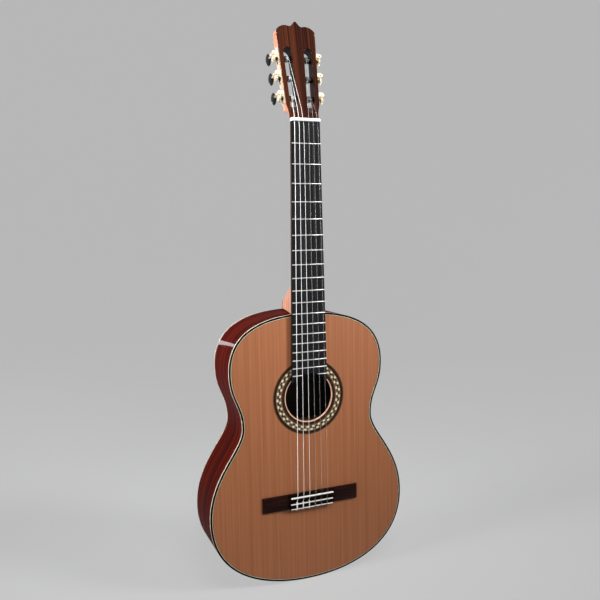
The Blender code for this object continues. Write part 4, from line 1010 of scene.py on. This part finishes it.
def add_tuners():
    """Both tuning machines, with screws for the plates and the gears."""
    for name, side in (("treble", 1), ("bass", -1)):
        refined(name + "_tuner_plate", GOLD, "instrument", "gold_plate", bevel=FINE_EASE)
        bm = bmesh.new()
        for order in range(SIDE_COUNT):
            for shift in PLATE_SCREWS:
                along = ROLLER_FIRST + order * ROLLER_PITCH + shift
                place = placing(side, along, PLATE_TOP, ROLLER_DEPTH, PLATE_SCREW_SPIN * along)
                add_screw(bm, place, *PLATE_SCREW_SIZE)
        dress(made_object(name + "_plate_screws", bm, [STEEL]), "instrument", "silvered_winding")
    for number in range(1, STRING_COUNT + 1):
        side, order = string_side(number)
        label = str(number)
        knob = "knob_" + label
        roller = "roller_" + label
        refined("tuner_knob_" + label, BLACK, knob, "black_plastic", levels=2, angle=60)
        refined("worm_shaft_" + label, GOLD, knob, "gold_plate", levels=2, angle=50)
        refined("string_roller_" + label, BLACK, roller, "black_plastic", levels=2, angle=35)
        refined("tuner_gear_" + label, GOLD, roller, "gold_plate", bevel=GEAR_EASE, angle=35)
        bm = bmesh.new()
        along = ROLLER_FIRST + order * ROLLER_PITCH
        place = placing(side, along, GEAR_FACE, ROLLER_DEPTH, GEAR_SCREW_SPIN + number)
        add_screw(bm, place, *GEAR_SCREW_SIZE)
        dress(made_object("gear_screw_" + label, bm, [GOLD]), roller, "gold_plate")


# Strings


def add_strings():
    """The strings, and the loop with which each one is tied at the bridge."""
    for number in range(1, STRING_COUNT + 1):
        plain_string = number <= SIDE_COUNT
        material = NYLON if plain_string else WOUND
        slot = "nylon" if plain_string else "silvered_winding"
        label = str(number)
        refined("string_" + label, material, "instrument", slot, levels=1, angle=70)
        radius = STRING_DIAMETERS[number - 1] / 2
        x = string_x(number, STRING_PITCH_AT_SADDLE)
        top = TIE_TOP - CLEARANCE - radius
        wide = TIE_LOOP * radius
        route = (
            (0, top, TIE_FRONT + 0.0002),
            (wide * 0.8, top + 0.0008, TIE_FRONT + 0.0012),
            (wide, TIE_SIDE_LEVEL, TIE_FRONT + 0.0016),
            (0, TIE_HOLE_LEVEL, TIE_FRONT + 0.0018),
            (-wide, TIE_SIDE_LEVEL, TIE_FRONT + 0.0016),
            (-wide, top + 0.0006, TIE_FRONT + 0.0010),
            (-wide, top, TIE_FRONT - 0.0006),
            (-wide * 1.1, top, TIE_REAR + 0.0030),
            (-wide * 1.4, top, TIE_REAR - 0.0010),
        )
        curve = bpy.data.curves.new("string_tie_" + label, "CURVE")
        curve.dimensions = "3D"
        curve.bevel_depth = radius
        curve.bevel_resolution = 2
        curve.use_fill_caps = True
        curve.resolution_u = 6
        spline = curve.splines.new("NURBS")
        spline.points.add(len(route) - 1)
        for target, (across, y, z) in zip(spline.points, route):
            target.co = (x + across, y, z, 1)
        spline.use_endpoint_u = True
        spline.order_u = 3
        curve.materials.append(material)
        tie = bpy.data.objects.new("string_tie_" + label, curve)
        bpy.context.scene.collection.objects.link(tie)
        dress(tie, "instrument", slot)


def build():
    """Every piece of the instrument."""
    outline = half_outline()
    add_edge_strips(outline)
    add_side("treble_side", outline, 1)
    add_side("bass_side", outline, -1)
    add_soundboard(outline)
    add_back(outline)
    dress(add_tiles(), "instrument", "mosaic", "rosette")
    dress(add_rings("rosette_outer_rings", RING_EDGES), "instrument", "mosaic")
    dress(add_rings("rosette_inner_rings", INNER_RING_EDGES), "instrument", "mosaic")
    add_fingerboard()
    add_frets()
    add_nut()
    refined("neck", NECK_WOOD, "instrument", "neck_wood", levels=2, angle=35)
    refined("heel_cap", BACK_WOOD, "instrument", "rosewood", bevel=THIN_EASE)
    head = refined("headstock", NECK_WOOD, "instrument", "neck_wood", bevel=WOOD_EASE)
    # Painted shade on the walls of the head's slots
    paint_slot_shade(head)
    add_headplate()
    add_bridge()
    add_tuners()
    add_strings()
    # Linings, braces, bars and the tail block take the darkened spruce as painted shade
    kinds = ("lining", "brac", "harmonic", "tail_block")
    for name in [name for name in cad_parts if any(kind in name for kind in kinds)]:
        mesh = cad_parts[name].data
        for i in range(len(mesh.materials)):
            mesh.materials[i] = SHADED_SPRUCE


# Stage, lights and camera


def pale_rays(tree):
    """1 for rays that show the surroundings, straight to the camera or by gloss or glass."""
    path = node(tree, "LightPath").outputs
    seen = node(tree, "Math", {0: path["Is Camera Ray"], 1: path["Is Glossy Ray"]}, operation="MAXIMUM")
    seen = node(tree, "Math", {0: seen.outputs[0], 1: path["Is Transmission Ray"]}, operation="MAXIMUM")
    return seen.outputs[0]


def add_stage():
    """A pale floor that sweeps up behind the instrument."""
    floor = BODY_TOP - BODY_LENGTH - FLOOR_DROP
    bend = SWEEP_RADIUS
    profile = [(y, floor) for y in FLOOR_FRONT]
    for i in range(SWEEP_STEPS + 1):
        angle = math.pi / 2 * i / SWEEP_STEPS
        profile.append((WALL_Y - bend + bend * math.sin(angle), floor + bend - bend * math.cos(angle)))
    profile.append((WALL_Y, floor + WALL_HEIGHT))
    bm = bmesh.new()
    rows = [[bm.verts.new((x, y, z)) for x in (-STAGE_REACH, STAGE_REACH)] for y, z in profile]
    for near, far in zip(rows, rows[1:]):
        bm.faces.new((near[0], near[1], far[1], far[0]))
    made, tree, shader = blank("backdrop", Roughness=0.9, Specular_IOR_Level=0.1)
    place = node(tree, "TexCoord").outputs["Object"]
    cloud = noise(tree, place, (1.5, 1.5, 1.5), 2.0)
    colour = ramp(tree, cloud, (0.3, hex_colour("b9babb")), (0.7, hex_colour("c3c4c5")))
    tree.links.new(colour, shader.inputs["Base Color"])
    share = node(tree, "Math", {0: pale_rays(tree), 1: PALE_SHARE}, operation="MULTIPLY").outputs[0]
    pale = node(tree, "Emission", {"Color": (PALE, PALE, PALE, 1), "Strength": 1.0})
    mixed = node(tree, "MixShader", {0: share, 1: shader.outputs[0], 2: pale.outputs[0]})
    tree.links.new(mixed.outputs[0], tree.nodes["Material Output"].inputs["Surface"])
    made_object("studio_sweep", bm, [made], 60)


def add_light(name, place, target, size, power, spread=180, mirrored_in=True):
    """A soft light that faces a target, with its beam in degrees and whether gloss mirrors it."""
    lamp = bpy.data.lights.new(name, "AREA")
    lamp.shape = "RECTANGLE"
    lamp.size, lamp.size_y = size
    lamp.energy = power
    lamp.spread = math.radians(spread)
    made = bpy.data.objects.new(name, lamp)
    made.location = place
    made.rotation_euler = (Vector(target) - Vector(place)).to_track_quat("-Z", "Y").to_euler()
    made.visible_glossy = mirrored_in
    bpy.context.scene.collection.objects.link(made)


def add_world():
    """Dim light all round. What shows behind the instrument or in its gloss is pale."""
    world = bpy.data.worlds.new("studio")
    world.use_nodes = True
    bpy.context.scene.world = world
    tree = world.node_tree
    light = node(tree, "Background", {"Color": SKY_TINT, "Strength": SKY_STRENGTH})
    pale = node(tree, "Background", {"Color": (PALE, PALE, PALE, 1), "Strength": 1.0})
    mixed = node(tree, "MixShader", {0: pale_rays(tree), 1: light.outputs[0], 2: pale.outputs[0]})
    tree.links.new(mixed.outputs[0], tree.nodes["World Output"].inputs["Surface"])


def add_camera():
    """The photograph's viewing place."""
    yaw, pitch, roll = (math.radians(angle) for angle in CAMERA_ANGLES)
    ahead = Vector((math.sin(yaw) * math.cos(pitch), math.cos(yaw) * math.cos(pitch), math.sin(pitch)))
    right = Vector((math.cos(yaw), -math.sin(yaw), 0))
    up = right.cross(ahead)
    tilted_right = right * math.cos(roll) + up * math.sin(roll)
    tilted_up = up * math.cos(roll) - right * math.sin(roll)
    data = bpy.data.cameras.new("camera")
    data.sensor_width = CAMERA_SENSOR
    data.lens = CAMERA_LENS
    made = bpy.data.objects.new("camera", data)
    turn = Matrix((tilted_right, tilted_up, -ahead)).transposed().to_4x4()
    made.matrix_world = Matrix.Translation(CAMERA_PLACE) @ turn
    bpy.context.scene.collection.objects.link(made)
    bpy.context.scene.camera = made


build()
add_stage()
add_world()
add_light("key", (1.55, -1.25, 0.75), (0, 0, -0.12), (0.6, 0.6), 4.2, 40)
add_light("top", (-0.10, -1.00, 0.95), (0, 0, -0.10), (0.9, 0.5), 2.2, 56)
add_light("left", (-1.60, -0.15, 0.25), (0, 0.04, -0.02), (0.5, 0.9), 6.4, 60, mirrored_in=False)
add_light("strip", (-0.70, 2.00, -0.08), (-0.13, 0.06, -0.37), (0.06, 0.26), 1.2)
add_camera()
bpy.context.scene.view_settings.view_transform = "Standard"
